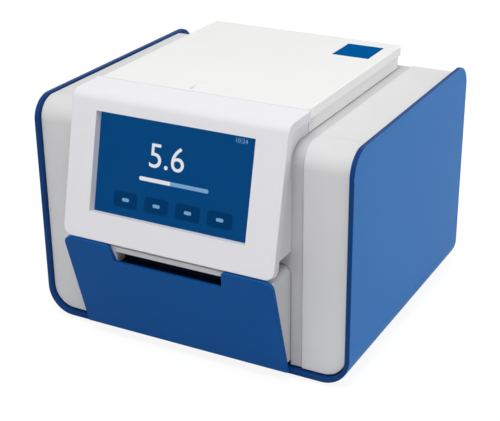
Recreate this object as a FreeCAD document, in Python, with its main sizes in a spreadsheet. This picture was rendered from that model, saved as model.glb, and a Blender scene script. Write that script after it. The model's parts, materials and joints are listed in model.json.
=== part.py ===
import FreeCAD, Part
import math
import os
import re
from FreeCAD import Placement, Rotation, Vector
import Sketcher

# A benchtop glycated hemoglobin analyzer: a blue wrap round a white head with a
# leaning screen, a rear-hinged lid over the cuvette rotor and pipettor, and a front drawer.
# Working frame: X to the right, Y to the back from the wrap's front edge,
# Z up from the wrap's underside. Each piece's Placement then moves it so that
# the origin lies on the table under the middle of the whole analyzer.

SIZES = {
    # wrap: floor and both sides in one
    "shell_width": 312.0,
    "shell_height": 214.0,
    "shell_depth": 272.5,
    "shell_wall": 4.5,
    "shell_corner": 26.0,
    "shell_brow": 22.0,
    # feet
    "foot_height": 4.0,
    "foot_radius": 10.0,
    "foot_inset_x": 46.0,
    "foot_inset_y": 30.0,
    # fairings beside the head
    "fairing_setback": 4.0,
    "fairing_drop": 1.9,
    "fairing_gap": 0.3,
    "fairing_lift": 1.5,
    "fairing_wall": 2.5,
    "fairing_leg": 6.0,
    "cover_split": 34.6,
    "seam_gap": 0.5,
    # core housing between the fairings
    "core_half": 109.2,
    "core_setback": 1.5,
    "core_wall": 2.5,
    "opening_half": 97.0,
    "opening_front": 38.0,
    "opening_inset": 40.5,
    "bay_half": 98.5,
    "bay_top": 102.5,
    "bay_corner": 9.0,
    "bay_rim": 6.0,
    # rear panel
    "panel_inset": 10.5,
    "panel_wall": 2.0,
    "screw_head": 3.0,
    "screw_rise": 60.0,
    "screw_inset": 30.5,
    # head
    "bezel_half": 103.7,
    "bezel_tilt": 13.3,
    "bezel_toe": 38.4,
    "bezel_foot": 107.9,
    "bezel_wall": 3.0,
    "bezel_corner": 8.5,
    "head_rise": 19.2,
    "head_brow": 9.0,
    "rim_depth": 9.0,
    "head_half": 99.0,
    "head_wall": 2.5,
    "head_floor": 116.0,
    "strip_end": 29.6,
    "head_end": 35.7,
    "window_width": 153.3,
    "window_shift": 1.5,
    "window_foot": 25.1,
    "window_rise": 88.2,
    "window_depth": 8.0,
    "collar_wall": 2.0,
    "glass_margin": 3.0,
    "glass_wall": 1.8,
    "lcd_margin": 6.5,
    "lcd_wall": 6.0,
    "bracket_wall": 1.5,
    "bracket_rise": 84.0,
    "bracket_drop": 7.0,
    "bracket_gap": 0.2,
    "display_post": 2.5,
    "display_board_width": 120.0,
    "display_board_rise": 56.0,
    "display_post_radius": 2.5,
    "display_post_inset": 10.0,
    "board_wall": 1.6,
    # lid
    "lid_half": 101.0,
    "lid_inset": 35.6,
    "lid_gap": 0.6,
    "lid_wall": 3.0,
    "skirt_wall": 2.5,
    "skirt_gap": 0.8,
    "skirt_inset": 3.2,
    "thumb_start": 5.6,
    "thumb_width": 30.0,
    "thumb_length": 14.5,
    "thumb_depth": 2.0,
    "thumb_shift": 1.5,
    "label_x": 71.5,
    "label_y": 201.2,
    "label_width": 36.6,
    "label_length": 39.0,
    "label_depth": 0.4,
    "hinge_inset": 0.4,
    "hinge_rise": 2.8,
    "hinge_spread": 68.0,
    "pin_radius": 1.2,
    "pin_clearance": 0.05,
    "knuckle_radius": 2.5,
    "knuckle_length": 12.0,
    "knuckle_gap": 0.3,
    "leaf_wall": 1.2,
    "leaf_depth": 2.4,
    # drawer
    "drawer_half": 103.2,
    "drawer_reach": 40.3,
    "drawer_tilt": 16.5,
    "drawer_foot": 7.0,
    "drawer_top": 106.8,
    "drawer_wall": 4.7,
    "drawer_corner": 8.0,
    "grip_half": 53.5,
    "grip_depth": 17.2,
    "grip_flare": 2.5,
    "grip_round": 4.0,
    "backing_half": 101.9,
    "backing_wall": 3.0,
    "backing_top": 104.5,
    "backing_foot": 10.0,
    "backing_step": 72.0,
    "collar_gap": 0.5,
    "collar_sheet": 2.5,
    "collar_end": 9.5,
    "finger_half": 52.5,
    "finger_top": 98.9,
    "finger_foot": 87.0,
    "finger_depth": 15.0,
    "finger_wall": 2.0,
    "tray_half": 93.0,
    "tray_wall": 2.5,
    "tray_foot": 12.0,
    "tray_top": 62.0,
    "tray_end": 165.0,
    "cheek_top": 97.0,
    "cheek_end": 12.0,
    "cheek_slope": 60.0,
    "rack_left": 88.0,
    "rack_right": 30.0,
    "rack_front": 10.0,
    "rack_length": 148.0,
    "rack_height": 34.0,
    "rack_wall": 2.5,
    "rail_wall": 3.6,
    "rail_rise": 12.0,
    "rail_foot": 34.0,
    "rail_start": 10.0,
    "rail_length": 155.0,
    "slide_clearance": 0.3,
    "runner_wall": 1.6,
    "runner_web": 2.0,
    "runner_pad": 10.0,
    "pad_inset": 20.0,
    "runner_start": 16.0,
    "runner_length": 174.0,
    # inner frame
    "chassis_inset": 2.0,
    "chassis_wall": 1.5,
    "chassis_lip": 8.0,
    "chassis_start": 15.0,
    "chassis_setback": 18.5,
    "side_start": 24.0,
    "side_inset": 36.5,
    "side_flange": 6.8,
    "side_window": 50.0,
    "window_inset": 20.0,
    "window_pitch": 70.0,
    "window_lift": 70.0,
    # deck under the lid
    "deck_half": 94.0,
    "deck_front": 36.0,
    "deck_inset": 38.5,
    "deck_depth": 59.6,
    "deck_wall": 2.5,
    # cuvette rotor and its drive
    "rotor_x": -24.0,
    "rotor_y": 134.0,
    "rotor_radius": 62.0,
    "rotor_disc": 2.5,
    "rotor_rise": 19.5,
    "rotor_knob": 6.0,
    "rotor_boss": 10.0,
    "rotor_neck": 7.0,
    "cuvette_ring": 56.0,
    "cuvette_size": 6.0,
    "cuvette_wall": 1.0,
    "cuvette_drop": 15.0,
    "spindle_radius": 4.0,
    "spindle_clearance": 0.05,
    "bearing_radius": 8.0,
    "bearing_flange": 11.0,
    "bearing_drop": 6.0,
    "gear_module": 1.5,
    "gear_drop": 18.0,
    "gear_wall": 6.0,
    "plate_drop": 24.0,
    "plate_half": 34.0,
    "post_radius": 3.2,
    "post_inset": 5.0,
    "plate_wall": 2.0,
    "motor_size": 35.0,
    "motor_length": 33.0,
    "motor_shaft": 2.5,
    "trough_wall": 2.5,
    "trough_gap": 2.0,
    "trough_rise": 15.0,
    "optic_width": 14.0,
    "optic_gap": 2.0,
    "lens_radius": 2.5,
    "lens_length": 3.5,
    "source_length": 10.0,
    "source_rise": 16.0,
    "detector_length": 12.0,
    "detector_rise": 26.0,
    "optic_base": 3.0,
    "beam_rise": 10.0,
    # pipettor
    "arm_x": 55.0,
    "arm_y": 98.0,
    "arm_reach": 62.0,
    "arm_height": 43.5,
    "arm_rise": 10.0,
    "shaft_radius": 4.0,
    "shaft_drop": 24.0,
    "base_radius": 11.0,
    "base_rise": 13.0,
    "drive_half": 18.0,
    "drive_rise": 20.0,
    "hub_radius": 9.0,
    "nose_radius": 6.0,
    "needle_radius": 0.9,
    "needle_drop": 18.0,
    "wash_angle": 215.0,
    "port_angle": 232.0,
    "port_radius": 6.0,
    "port_wall": 1.5,
    "port_rise": 4.0,
    "wash_depth": 14.5,
    "cup_depth": 10.0,
    "bottle_angle_far": 92.0,
    "bottle_angle_near": 67.0,
    "bottle_size": 20.0,
    "bottle_rise": 16.0,
    "bottle_wall": 1.5,
    "neck_radius": 7.5,
    "neck_rise": 5.0,
    "neck_wall": 2.5,
    # electronics, fan and connections
    "board_gap": 8.0,
    "board_start": 70.0,
    "board_length": 130.0,
    "board_foot": 40.0,
    "board_rise": 110.0,
    "board_inset": 4.0,
    "board_post": 3.0,
    "supply_x": -35.0,
    "supply_width": 100.0,
    "supply_length": 40.0,
    "supply_gap": 30.0,
    "supply_inset": 3.0,
    "supply_lift": 5.5,
    "leg_radius": 2.8,
    "leg_inset": 7.0,
    "winding_width": 28.0,
    "winding_rise": 24.0,
    "winding_shift": 15.0,
    "can_radius": 8.0,
    "can_rise": 26.0,
    "can_spread": 32.0,
    "sink_wall": 4.0,
    "fan_size": 60.0,
    "fan_depth": 20.0,
    "fan_x": 55.0,
    "fan_drop": 60.5,
    "fan_bore": 28.0,
    "fan_hub": 12.0,
    "blade_gap": 1.0,
    "vent_half": 26.0,
    "vent_rise": 3.2,
    "inlet_x": -60.0,
    "inlet_z": 34.0,
    "switch_inset": 41.0,
    "rocker_half": 10.0,
    "rocker_dish": 15.0,
    "rocker_travel": 12.5,
    "ports_x": 62.0,
    "ports_z": 34.0,
}

GEAR_TEETH = 36
PINION_TEETH = 12
CUVETTES = 20
FAN_BLADES = 7
VENT_ROWS = 9
PRESSURE_ANGLE = math.radians(25)
GEAR_BACKLASH = 0.15

# Names for places that several pieces share
MIDDLE = "(shell_depth - drawer_reach) / 2"
SHELL_HALF = "shell_width / 2"
INNER_HALF = "(shell_width / 2 - shell_wall)"
FAIRING_TOP = "(shell_height - fairing_drop)"
FAIRING_HALF = f"({INNER_HALF} - fairing_gap)"
FAIRING_BROW = "(shell_brow - 3)"
CORE_FRONT = "(fairing_setback + core_setback)"
CORE_TOP = f"({FAIRING_TOP} - core_setback)"
LOWER_EDGE = "(shell_wall + fairing_lift)"
PANEL_FACE = "(shell_depth - panel_inset)"
PANEL_BACK = f"({PANEL_FACE} - panel_wall)"
OPENING_BACK = "(shell_depth - opening_inset)"
HEAD_TOP = "(shell_height + head_rise)"
LIP_FOOT = f"({HEAD_TOP} - rim_depth)"
LID_FRONT = "(strip_end + lid_gap)"
LID_END = "(shell_depth - lid_inset)"
SKIRT_FRONT = "(head_end + lid_gap)"
SKIRT_END = f"({LID_END} - skirt_inset)"
SKIRT_FOOT = f"({CORE_TOP} + skirt_gap)"
HINGE_Y = f"({LID_END} - hinge_inset)"
HINGE_Z = f"({CORE_TOP} + hinge_rise)"
CHASSIS_HALF = f"({SHELL_HALF} - shell_corner - chassis_inset)"
CHASSIS_END = "(shell_depth - chassis_setback)"
CHASSIS_TOP = "(shell_wall + chassis_wall)"
SIDE_FACE = "(tray_half + rail_wall + slide_clearance + runner_web + 2)"
SIDE_END = "(shell_depth - side_inset)"
DECK_RIM = f"({CORE_TOP} - core_wall)"
DECK_BACK = "(shell_depth - deck_inset)"
DECK_FLOOR = f"({DECK_RIM} - deck_depth)"
DECK_TOP = f"({DECK_FLOOR} + deck_wall)"
ROTOR_LEVEL = f"({DECK_TOP} + rotor_rise)"
GEAR_LEVEL = f"({DECK_FLOOR} - gear_drop)"
PLATE_LEVEL = f"({DECK_FLOOR} - plate_drop)"
ARM_LEVEL = f"({DECK_TOP} + arm_height)"
SHAFT_FOOT = f"({DECK_FLOOR} - shaft_drop)"
FAN_Z = "(shell_height - fan_drop)"
SWITCH_X = f"(switch_inset - {SHELL_HALF})"
BEZEL_TAN = "tan(bezel_tilt)"
DRAWER_TAN = "tan(drawer_tilt)"

document = FreeCAD.newDocument("analyzer")
sizes = document.addObject("Spreadsheet::Sheet", "Sizes")
for row, (alias, number) in enumerate(SIZES.items(), 1):
    sizes.set(f"A{row}", alias)
    sizes.set(f"B{row}", str(number))
    sizes.setAlias(f"B{row}", alias)
document.recompute()

pieces = []
spots = {}


def bound(text):
    """An expression that reads its sizes from the sheet."""
    return re.sub(r"\b([a-z]+(?:_[a-z]+)+)\b", r"Sizes.\1", str(text))


def value(text):
    return float(sizes.evalExpression(str(text)))


def bind(thing, prop, text):
    thing.setExpression(prop, bound(text))


def move(thing, x="0", y="0", z="0"):
    for axis, text in zip("xyz", (x, y, z)):
        bind(thing, f"Placement.Base.{axis}", text)
    spots[thing.Name] = (x, y, z)
    return thing


def piece(thing, name):
    """Names a finished piece and moves it into the analyzer's frame."""
    x, y, z = spots.get(thing.Name, ("0", "0", "0"))
    move(thing, x, f"({y}) - {MIDDLE}", f"({z}) + foot_height")
    thing.Label = name
    pieces.append(thing)
    return thing


# Sketches and features inside a body

def origin_plane(owner, role):
    return next(item for item in owner.Origin.OriginFeatures if item.Role == role)


def sketch(owner, role, *loops, level="0", tilt=None, rise="0"):
    """A sketch on an origin plane, moved out by level, or leaning by tilt about X."""
    drawing = owner.newObject("Sketcher::SketchObject", f"{owner.Name}_sketch")
    drawing.AttachmentSupport = (origin_plane(owner, role), [""])
    drawing.MapMode = "FlatFace"
    if tilt is not None:
        drawing.AttachmentOffset = Placement(Vector(), Rotation(Vector(1, 0, 0), value(tilt)))
        bind(drawing, "AttachmentOffset.Rotation.Angle", tilt)
    bind(drawing, "AttachmentOffset.Base.y", rise)
    bind(drawing, "AttachmentOffset.Base.z", level)
    for outline in loops:
        if isinstance(outline, dict):
            ring(drawing, **outline)
        else:
            loop(drawing, outline)
    return drawing


def fix(drawing, constraint, text):
    index = drawing.addConstraint(constraint)
    bind(drawing, f"Constraints[{index}]", text)


def ring(drawing, x, y, radius):
    centre = Vector(value(x), value(y), 0)
    circle = drawing.addGeometry(Part.Circle(centre, Vector(0, 0, 1), value(radius)))
    fix(drawing, Sketcher.Constraint("Radius", circle, value(radius)), radius)
    fix(drawing, Sketcher.Constraint("DistanceX", circle, 3, centre.x), x)
    fix(drawing, Sketcher.Constraint("DistanceY", circle, 3, centre.y), y)


def loop(drawing, outline):
    """A closed outline through corners (x, y) or (x, y, radius), each an expression."""
    corners = [(tuple(corner) + ("0",))[:3] for corner in outline]
    points = [Vector(value(x), value(y), 0) for x, y, _ in corners]
    radii = [value(radius) for _, _, radius in corners]
    count = len(corners)
    joints = []
    for index, (point, radius) in enumerate(zip(points, radii)):
        back = (points[index - 1] - point).normalize()
        ahead = (points[(index + 1) % count] - point).normalize()
        if radius > 0:
            half = math.acos(max(-1.0, min(1.0, back.dot(ahead)))) / 2
            reach = radius / math.tan(half)
            centre = point + (back + ahead).normalize() * (radius / math.sin(half))
            joints.append((point + back * reach, point + ahead * reach, centre))
        else:
            joints.append((point, point, None))
    sides = [
        drawing.addGeometry(Part.LineSegment(joints[index][1], joints[(index + 1) % count][0]))
        for index in range(count)
    ]
    for index, (corner, point, radius) in enumerate(zip(corners, points, radii)):
        before, after = sides[index - 1], sides[index]
        if radius > 0:
            spot = (drawing.addGeometry(Part.Point(point), True), 1)
            round_corner(drawing, before, after, spot, joints[index], corner[2], radius)
        else:
            drawing.addConstraint(Sketcher.Constraint("Coincident", before, 2, after, 1))
            spot = (after, 1)
        fix(drawing, Sketcher.Constraint("DistanceX", *spot, point.x), corner[0])
        fix(drawing, Sketcher.Constraint("DistanceY", *spot, point.y), corner[1])


def round_corner(drawing, before, after, spot, joint, text, radius):
    start, end, centre = joint
    ccw = (start - centre).cross(end - centre).z > 0
    first, last = (start, end) if ccw else (end, start)
    angles = [math.atan2((tip - centre).y, (tip - centre).x) for tip in (first, last)]
    circle = Part.Circle(centre, Vector(0, 0, 1), radius)
    arc = drawing.addGeometry(Part.ArcOfCircle(circle, *angles))
    ends = (1, 2) if ccw else (2, 1)
    drawing.addConstraint([
        Sketcher.Constraint("PointOnObject", *spot, before),
        Sketcher.Constraint("PointOnObject", *spot, after),
        Sketcher.Constraint("Tangent", before, 2, arc, ends[0]),
        Sketcher.Constraint("Tangent", arc, ends[1], after, 1),
    ])
    fix(drawing, Sketcher.Constraint("Radius", arc, radius), text)


def rectangle(x0, x1, y0, y1, radius="0"):
    return [(x0, y0, radius), (x1, y0, radius), (x1, y1, radius), (x0, y1, radius)]


def feature(owner, kind, drawing, length=None, both=False, back=False):
    """A Pad or Pocket of a sketch; with no length a Pocket goes through all."""
    made = owner.newObject(f"PartDesign::{kind}", f"{owner.Name}_{kind}")
    made.Profile = drawing
    if length is None:
        made.Type = "ThroughAll"
    else:
        bind(made, "Length", length)
    if both:
        made.SideType = "Symmetric"
    made.Reversed = back
    return made


def pad(owner, drawing, length, both=False, back=False):
    return feature(owner, "Pad", drawing, length, both, back)


def pocket(owner, drawing, length=None, both=False, back=False):
    """Cuts a sketch out, and makes sure that it did cut."""
    document.recompute()
    before = owner.Tip.Shape.Volume
    made = feature(owner, "Pocket", drawing, length, both, back)
    document.recompute()
    if made.Shape.Volume >= before - 1e-6:
        raise ValueError(f"{owner.Name}: a pocket cuts nothing")
    return made


def fillet(owner, radius, test):
    """Rounds the edges of the body's tip whose middle point passes the test."""
    document.recompute()
    shape = owner.Tip.Shape
    names = []
    for number, edge in enumerate(shape.Edges, 1):
        middle = edge.valueAt((edge.FirstParameter + edge.LastParameter) / 2)
        if test(edge, middle):
            names.append(f"Edge{number}")
    if not names:
        raise ValueError(f"{owner.Name}: no edge to round")
    made = owner.newObject("PartDesign::Fillet", f"{owner.Name}_round")
    made.Base = (feature_before(owner, made), names)
    bind(made, "Radius", radius)
    document.recompute()
    return made


def feature_before(owner, made):
    """The solid feature just before the one being made."""
    solids = [item for item in owner.Group if item.isDerivedFrom("PartDesign::Feature")]
    return solids[solids.index(made) - 1]


def repeat(owner, kind, role, features, count, length=None):
    """Repeats features round an axis, or along it over a length."""
    made = owner.newObject(f"PartDesign::{kind}Pattern", f"{owner.Name}_row")
    made.Originals = features
    axis = next(item for item in owner.Origin.OriginFeatures if item.Role == role)
    if kind == "Polar":
        made.Axis = (axis, [""])
        made.Angle = 360
    else:
        made.Direction = (axis, [""])
        bind(made, "Length", length)
    made.Occurrences = count
    owner.Tip = made
    return made


def near(number, text, slack=0.01):
    return abs(number - value(text)) < slack


def body(name):
    return document.addObject("PartDesign::Body", name)


# Primitives and booleans

def box(x0, x1, y0, y1, z0, z1):
    made = document.addObject("Part::Box", "block")
    bind(made, "Length", f"({x1}) - ({x0})")
    bind(made, "Width", f"({y1}) - ({y0})")
    bind(made, "Height", f"({z1}) - ({z0})")
    return move(made, x0, y0, z0)


TURNS = {
    "z": Rotation(),
    "x": Rotation(Vector(0, 1, 0), 90),
    "y": Rotation(Vector(1, 0, 0), -90),
}


def cylinder(x, y, z, radius, height, along="z"):
    made = document.addObject("Part::Cylinder", "round")
    bind(made, "Radius", radius)
    bind(made, "Height", height)
    made.Placement = Placement(Vector(), TURNS[along])
    return move(made, x, y, z)


def spacer(x, y, z, radius, height, along="z"):
    """A hexagonal spacer."""
    made = document.addObject("Part::Prism", "spacer")
    made.Polygon = 6
    bind(made, "Circumradius", radius)
    bind(made, "Height", height)
    made.Placement = Placement(Vector(), TURNS[along])
    return move(made, x, y, z)


def fuse(*parts):
    made = document.addObject("Part::MultiFuse", "joined")
    made.Shapes = list(parts)
    made.Refine = True
    return made


def cut(base, *tools):
    made = document.addObject("Part::Cut", "trimmed")
    made.Base = base
    made.Tool = tools[0] if len(tools) == 1 else fuse(*tools)
    made.Refine = True
    return made


def group(*parts):
    made = document.addObject("Part::Compound", "set")
    made.Links = list(parts)
    return made


def mirrored(builder, name):
    """Left and right twins of a piece whose builder takes the side, -1 or 1."""
    for side, word in ((-1, "left"), (1, "right")):
        builder(f"{name}_{word}", side)


def across(side, near_x, far_x):
    """Low and high x of a span given outwards from the middle."""
    if side > 0:
        return near_x, far_x
    return f"-({far_x})", f"-({near_x})"


# The blue wrap

def outer_shell():
    shell = body("outer_shell")
    outline = [
        (f"-{SHELL_HALF}", "shell_height"),
        (f"-{SHELL_HALF}", "0", "shell_corner"),
        (SHELL_HALF, "0", "shell_corner"),
        (SHELL_HALF, "shell_height"),
        (INNER_HALF, "shell_height"),
        (INNER_HALF, "shell_wall", "shell_corner - shell_wall"),
        (f"-{INNER_HALF}", "shell_wall", "shell_corner - shell_wall"),
        (f"-{INNER_HALF}", "shell_height"),
    ]
    pad(shell, sketch(shell, "XZ_Plane", outline), "shell_depth", back=True)
    fillet(shell, "shell_brow", lambda edge, middle:
           near(middle.z, "shell_height") and near(edge.Length, "shell_wall")
           and (near(middle.y, "0") or near(middle.y, "shell_depth")))
    return piece(shell, "outer_shell")


def foot_spots():
    x = "(shell_width / 2 - foot_inset_x)"
    back = "(shell_depth - foot_inset_y)"
    return [(f"-{x}", "foot_inset_y"), (x, "foot_inset_y"), (f"-{x}", back), (x, back)]


def rubber_feet():
    feet = [cylinder(x, y, "-foot_height", "foot_radius", "foot_height") for x, y in foot_spots()]
    return piece(group(*feet), "rubber_feet")


# Grey fairings: a bent wall that goes up the front, over both brows and a little way down the rear

def wall_profile(front, top, foot, rear, thick, brow):
    """Side outline of a bent wall, from its front foot to the end of its rear leg."""
    leg = f"({top} - {brow} - fairing_leg)"
    return [
        (front, foot),
        (front, top, brow),
        (rear, top, brow),
        (rear, leg),
        (f"{rear} - {thick}", leg),
        (f"{rear} - {thick}", f"{top} - {thick}", f"{brow} - {thick}"),
        (f"{front} + {thick}", f"{top} - {thick}", f"{brow} - {thick}"),
        (f"{front} + {thick}", foot),
    ]


def fairing(name, side, front_part):
    cover = body(name)
    outline = wall_profile("fairing_setback", FAIRING_TOP, LOWER_EDGE, PANEL_BACK,
                           "fairing_wall", FAIRING_BROW)
    near_x = "(core_half + seam_gap)"
    middle = f"({near_x} + {FAIRING_HALF}) / 2"
    drawing = sketch(cover, "YZ_Plane", outline, level=f"{side} * {middle}")
    pad(cover, drawing, f"{FAIRING_HALF} - {near_x}", both=True)
    if front_part:
        waste = rectangle("cover_split - seam_gap", "shell_depth", "0", "shell_height")
    else:
        waste = rectangle("-1", "cover_split", "-1", "shell_height")
    pocket(cover, sketch(cover, "YZ_Plane", waste), both=True)
    if front_part:
        corner = "shell_corner - shell_wall - fairing_gap"
        fillet(cover, corner, lambda edge, point:
               near(abs(point.x), FAIRING_HALF) and near(point.z, LOWER_EDGE))
    return piece(cover, name)


def core_housing():
    core = body("core_housing")
    brow = f"({FAIRING_BROW} - core_setback)"
    outline = wall_profile(CORE_FRONT, CORE_TOP, LOWER_EDGE, PANEL_BACK, "core_wall", brow)
    pad(core, sketch(core, "YZ_Plane", outline), "2 * core_half", both=True)
    bay = [
        ("-bay_half", "0"),
        ("bay_half", "0"),
        ("bay_half", "bay_top", "bay_corner"),
        ("-bay_half", "bay_top", "bay_corner"),
    ]
    rim = [
        ("-bay_half - fairing_wall", LOWER_EDGE),
        ("-bay_half", LOWER_EDGE),
        ("-bay_half", "bay_top", "bay_corner"),
        ("bay_half", "bay_top", "bay_corner"),
        ("bay_half", LOWER_EDGE),
        ("bay_half + fairing_wall", LOWER_EDGE),
        ("bay_half + fairing_wall", "bay_top + fairing_wall", "bay_corner + fairing_wall"),
        ("-bay_half - fairing_wall", "bay_top + fairing_wall", "bay_corner + fairing_wall"),
    ]
    behind = f"-({CORE_FRONT} + core_wall - 0.5)"
    pad(core, sketch(core, "XZ_Plane", rim, level=behind), "bay_rim + 0.5", back=True)
    pocket(core, sketch(core, "XZ_Plane", bay, level="-3"), f"{CORE_FRONT} + core_wall")
    mouth = rectangle("-opening_half", "opening_half", "opening_front", OPENING_BACK, "4")
    pocket(core, sketch(core, "XY_Plane", mouth, level=f"{CORE_TOP} + 1"), "core_wall + 2")
    cable = rectangle("-30", "30", "bezel_foot + 24", "bezel_foot + 44", "3")
    pocket(core, sketch(core, "XZ_Plane", cable, level="-3"), f"{CORE_FRONT} + core_wall")
    return piece(core, "core_housing")


# Head with the leaning display

def face_y(height, depth="0"):
    """Y of the leaning face at a height, or of a plane parallel to it, depth behind."""
    return f"(-bezel_toe + ({height} - bezel_foot) * {BEZEL_TAN} + ({depth}) / cos(bezel_tilt))"


def head_bezel():
    bezel = body("head_bezel")
    outline = [
        ("-bezel_toe", "bezel_foot"),
        (face_y(HEAD_TOP), HEAD_TOP, "head_brow"),
        ("strip_end", HEAD_TOP),
        ("strip_end", LIP_FOOT),
        (face_y(LIP_FOOT, "rim_depth"), LIP_FOOT),
        ("-bezel_toe + rim_depth * cos(bezel_tilt)", "bezel_foot - rim_depth * sin(bezel_tilt)"),
    ]
    pad(bezel, sketch(bezel, "YZ_Plane", outline), "2 * bezel_half", both=True)
    foot = "(bezel_foot + 4)"
    hollow = [
        (face_y(foot, "bezel_wall"), foot),
        (face_y(f"{HEAD_TOP} - bezel_wall", "bezel_wall"), f"{HEAD_TOP} - bezel_wall"),
        ("strip_end - head_wall", f"{HEAD_TOP} - bezel_wall"),
        ("strip_end - head_wall", f"{LIP_FOOT} - 1"),
        (face_y(f"{LIP_FOOT} - 1", "rim_depth + 1"), f"{LIP_FOOT} - 1"),
        (face_y(foot, "rim_depth + 1"), foot),
    ]
    pocket(bezel, sketch(bezel, "YZ_Plane", hollow), "2 * (head_half - 1)", both=True)
    low = value("bezel_foot + 3")
    fillet(bezel, "bezel_corner", lambda edge, point:
           near(abs(point.x), "bezel_half") and point.z < low and near(edge.Length, "rim_depth"))
    inner = window("0")
    outer = window("collar_wall")
    collar = leaning_sketch(bezel, "window_depth", outer, inner)
    pad(bezel, collar, "window_depth - bezel_wall + 0.5")
    pocket(bezel, leaning_sketch(bezel, "0", inner), "bezel_wall + 1")
    return piece(bezel, "head_bezel")


def leaning_sketch(owner, depth, *loops):
    """A sketch on the leaning face, or on a plane behind it; its Y runs up the face."""
    drawing = sketch(owner, "XZ_Plane", *loops, tilt="-bezel_tilt",
                     level=f"bezel_toe - ({depth}) * cos(bezel_tilt)",
                     rise=f"bezel_foot - ({depth}) * sin(bezel_tilt)")
    return drawing


def window(grow):
    left = f"-window_width / 2 - window_shift - {grow}"
    right = f"window_width / 2 - window_shift + {grow}"
    foot = f"window_foot - {grow}"
    top = f"window_foot + window_rise + {grow}"
    return rectangle(left, right, foot, top)


def head_housing():
    housing = body("head_housing")
    brow = f"({FAIRING_BROW} - core_setback - 1.5)"
    top = f"({LIP_FOOT} - lid_gap / 2)"
    outline = [
        (face_y("head_floor", "rim_depth"), "head_floor"),
        (face_y(top, "rim_depth"), top),
        ("head_end", top),
        ("head_end", CORE_TOP),
        (CORE_FRONT, CORE_TOP, brow),
        (CORE_FRONT, "head_floor"),
    ]
    pad(housing, sketch(housing, "YZ_Plane", outline), "2 * head_half", both=True)
    inner_brow = f"{brow} + head_wall"
    hollow = [
        (face_y("head_floor + head_wall", "rim_depth - 1"), "head_floor + head_wall"),
        (face_y(f"{top} - head_wall", "rim_depth - 1"), f"{top} - head_wall"),
        ("head_end - head_wall", f"{top} - head_wall"),
        ("head_end - head_wall", f"{CORE_TOP} + head_wall"),
        (f"{CORE_FRONT} - head_wall", f"{CORE_TOP} + head_wall", inner_brow),
        (f"{CORE_FRONT} - head_wall", "head_floor + head_wall"),
    ]
    pocket(housing, sketch(housing, "YZ_Plane", hollow), "2 * (head_half - head_wall)", both=True)
    cable = rectangle("-30", "30", "bezel_foot + 24", "bezel_foot + 44", "3")
    pocket(housing, sketch(housing, "XZ_Plane", cable), "core_setback + fairing_setback + 1")
    return piece(housing, "head_housing")


def leaning(thing, x, depth, rise):
    """Places a piece on the leaning face's own axes: across, behind and up the face."""
    thing.Placement = Placement(Vector(), Rotation(Vector(1, 0, 0), -value("bezel_tilt")))
    bind(thing, "Placement.Rotation.Angle", "-bezel_tilt")
    move(thing, x,
         f"-bezel_toe + ({depth}) * cos(bezel_tilt) + ({rise}) * sin(bezel_tilt)",
         f"bezel_foot - ({depth}) * sin(bezel_tilt) + ({rise}) * cos(bezel_tilt)")
    return thing


def plate(width, depth, height):
    made = document.addObject("Part::Box", "plate")
    bind(made, "Length", width)
    bind(made, "Width", depth)
    bind(made, "Height", height)
    return made


def display():
    left = "-window_width / 2 - window_shift"
    glass = plate("window_width + 2 * glass_margin", "glass_wall", "window_rise + 2 * glass_margin")
    piece(leaning(glass, f"{left} - glass_margin", "window_depth", "window_foot - glass_margin"),
          "touch_glass")
    lcd_depth = "window_depth + glass_wall"
    lcd = plate("window_width + 2 * lcd_margin", "lcd_wall", "window_rise + 1.4 * lcd_margin")
    piece(leaning(lcd, f"{left} - lcd_margin", lcd_depth, "window_foot - lcd_margin"), "lcd_module")
    back = f"{lcd_depth} + lcd_wall"
    half = "(head_half - head_wall - bracket_gap)"
    sheet = box("0", f"2 * {half}", "0", "bracket_wall", "0", "bracket_rise")
    board_half = "(display_board_width / 2 - display_post_inset)"
    posts = [
        spacer(x, "bracket_wall - 0.2", z, "display_post_radius", "display_post + 0.2", along="y")
        for x in (f"{half} - {board_half}", f"{half} + {board_half}")
        for z in ("bracket_drop + display_post_inset",
                  "bracket_drop + display_board_rise - display_post_inset")
    ]
    bracket = fuse(sheet, *posts)
    piece(leaning(bracket, f"-{half}", back, "window_foot - bracket_drop"), "display_bracket")
    board = plate("display_board_width", "board_wall", "display_board_rise")
    piece(leaning(board, "-display_board_width / 2", f"{back} + bracket_wall + display_post",
                  "window_foot"), "display_board")


# Lid and its hinge

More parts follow.
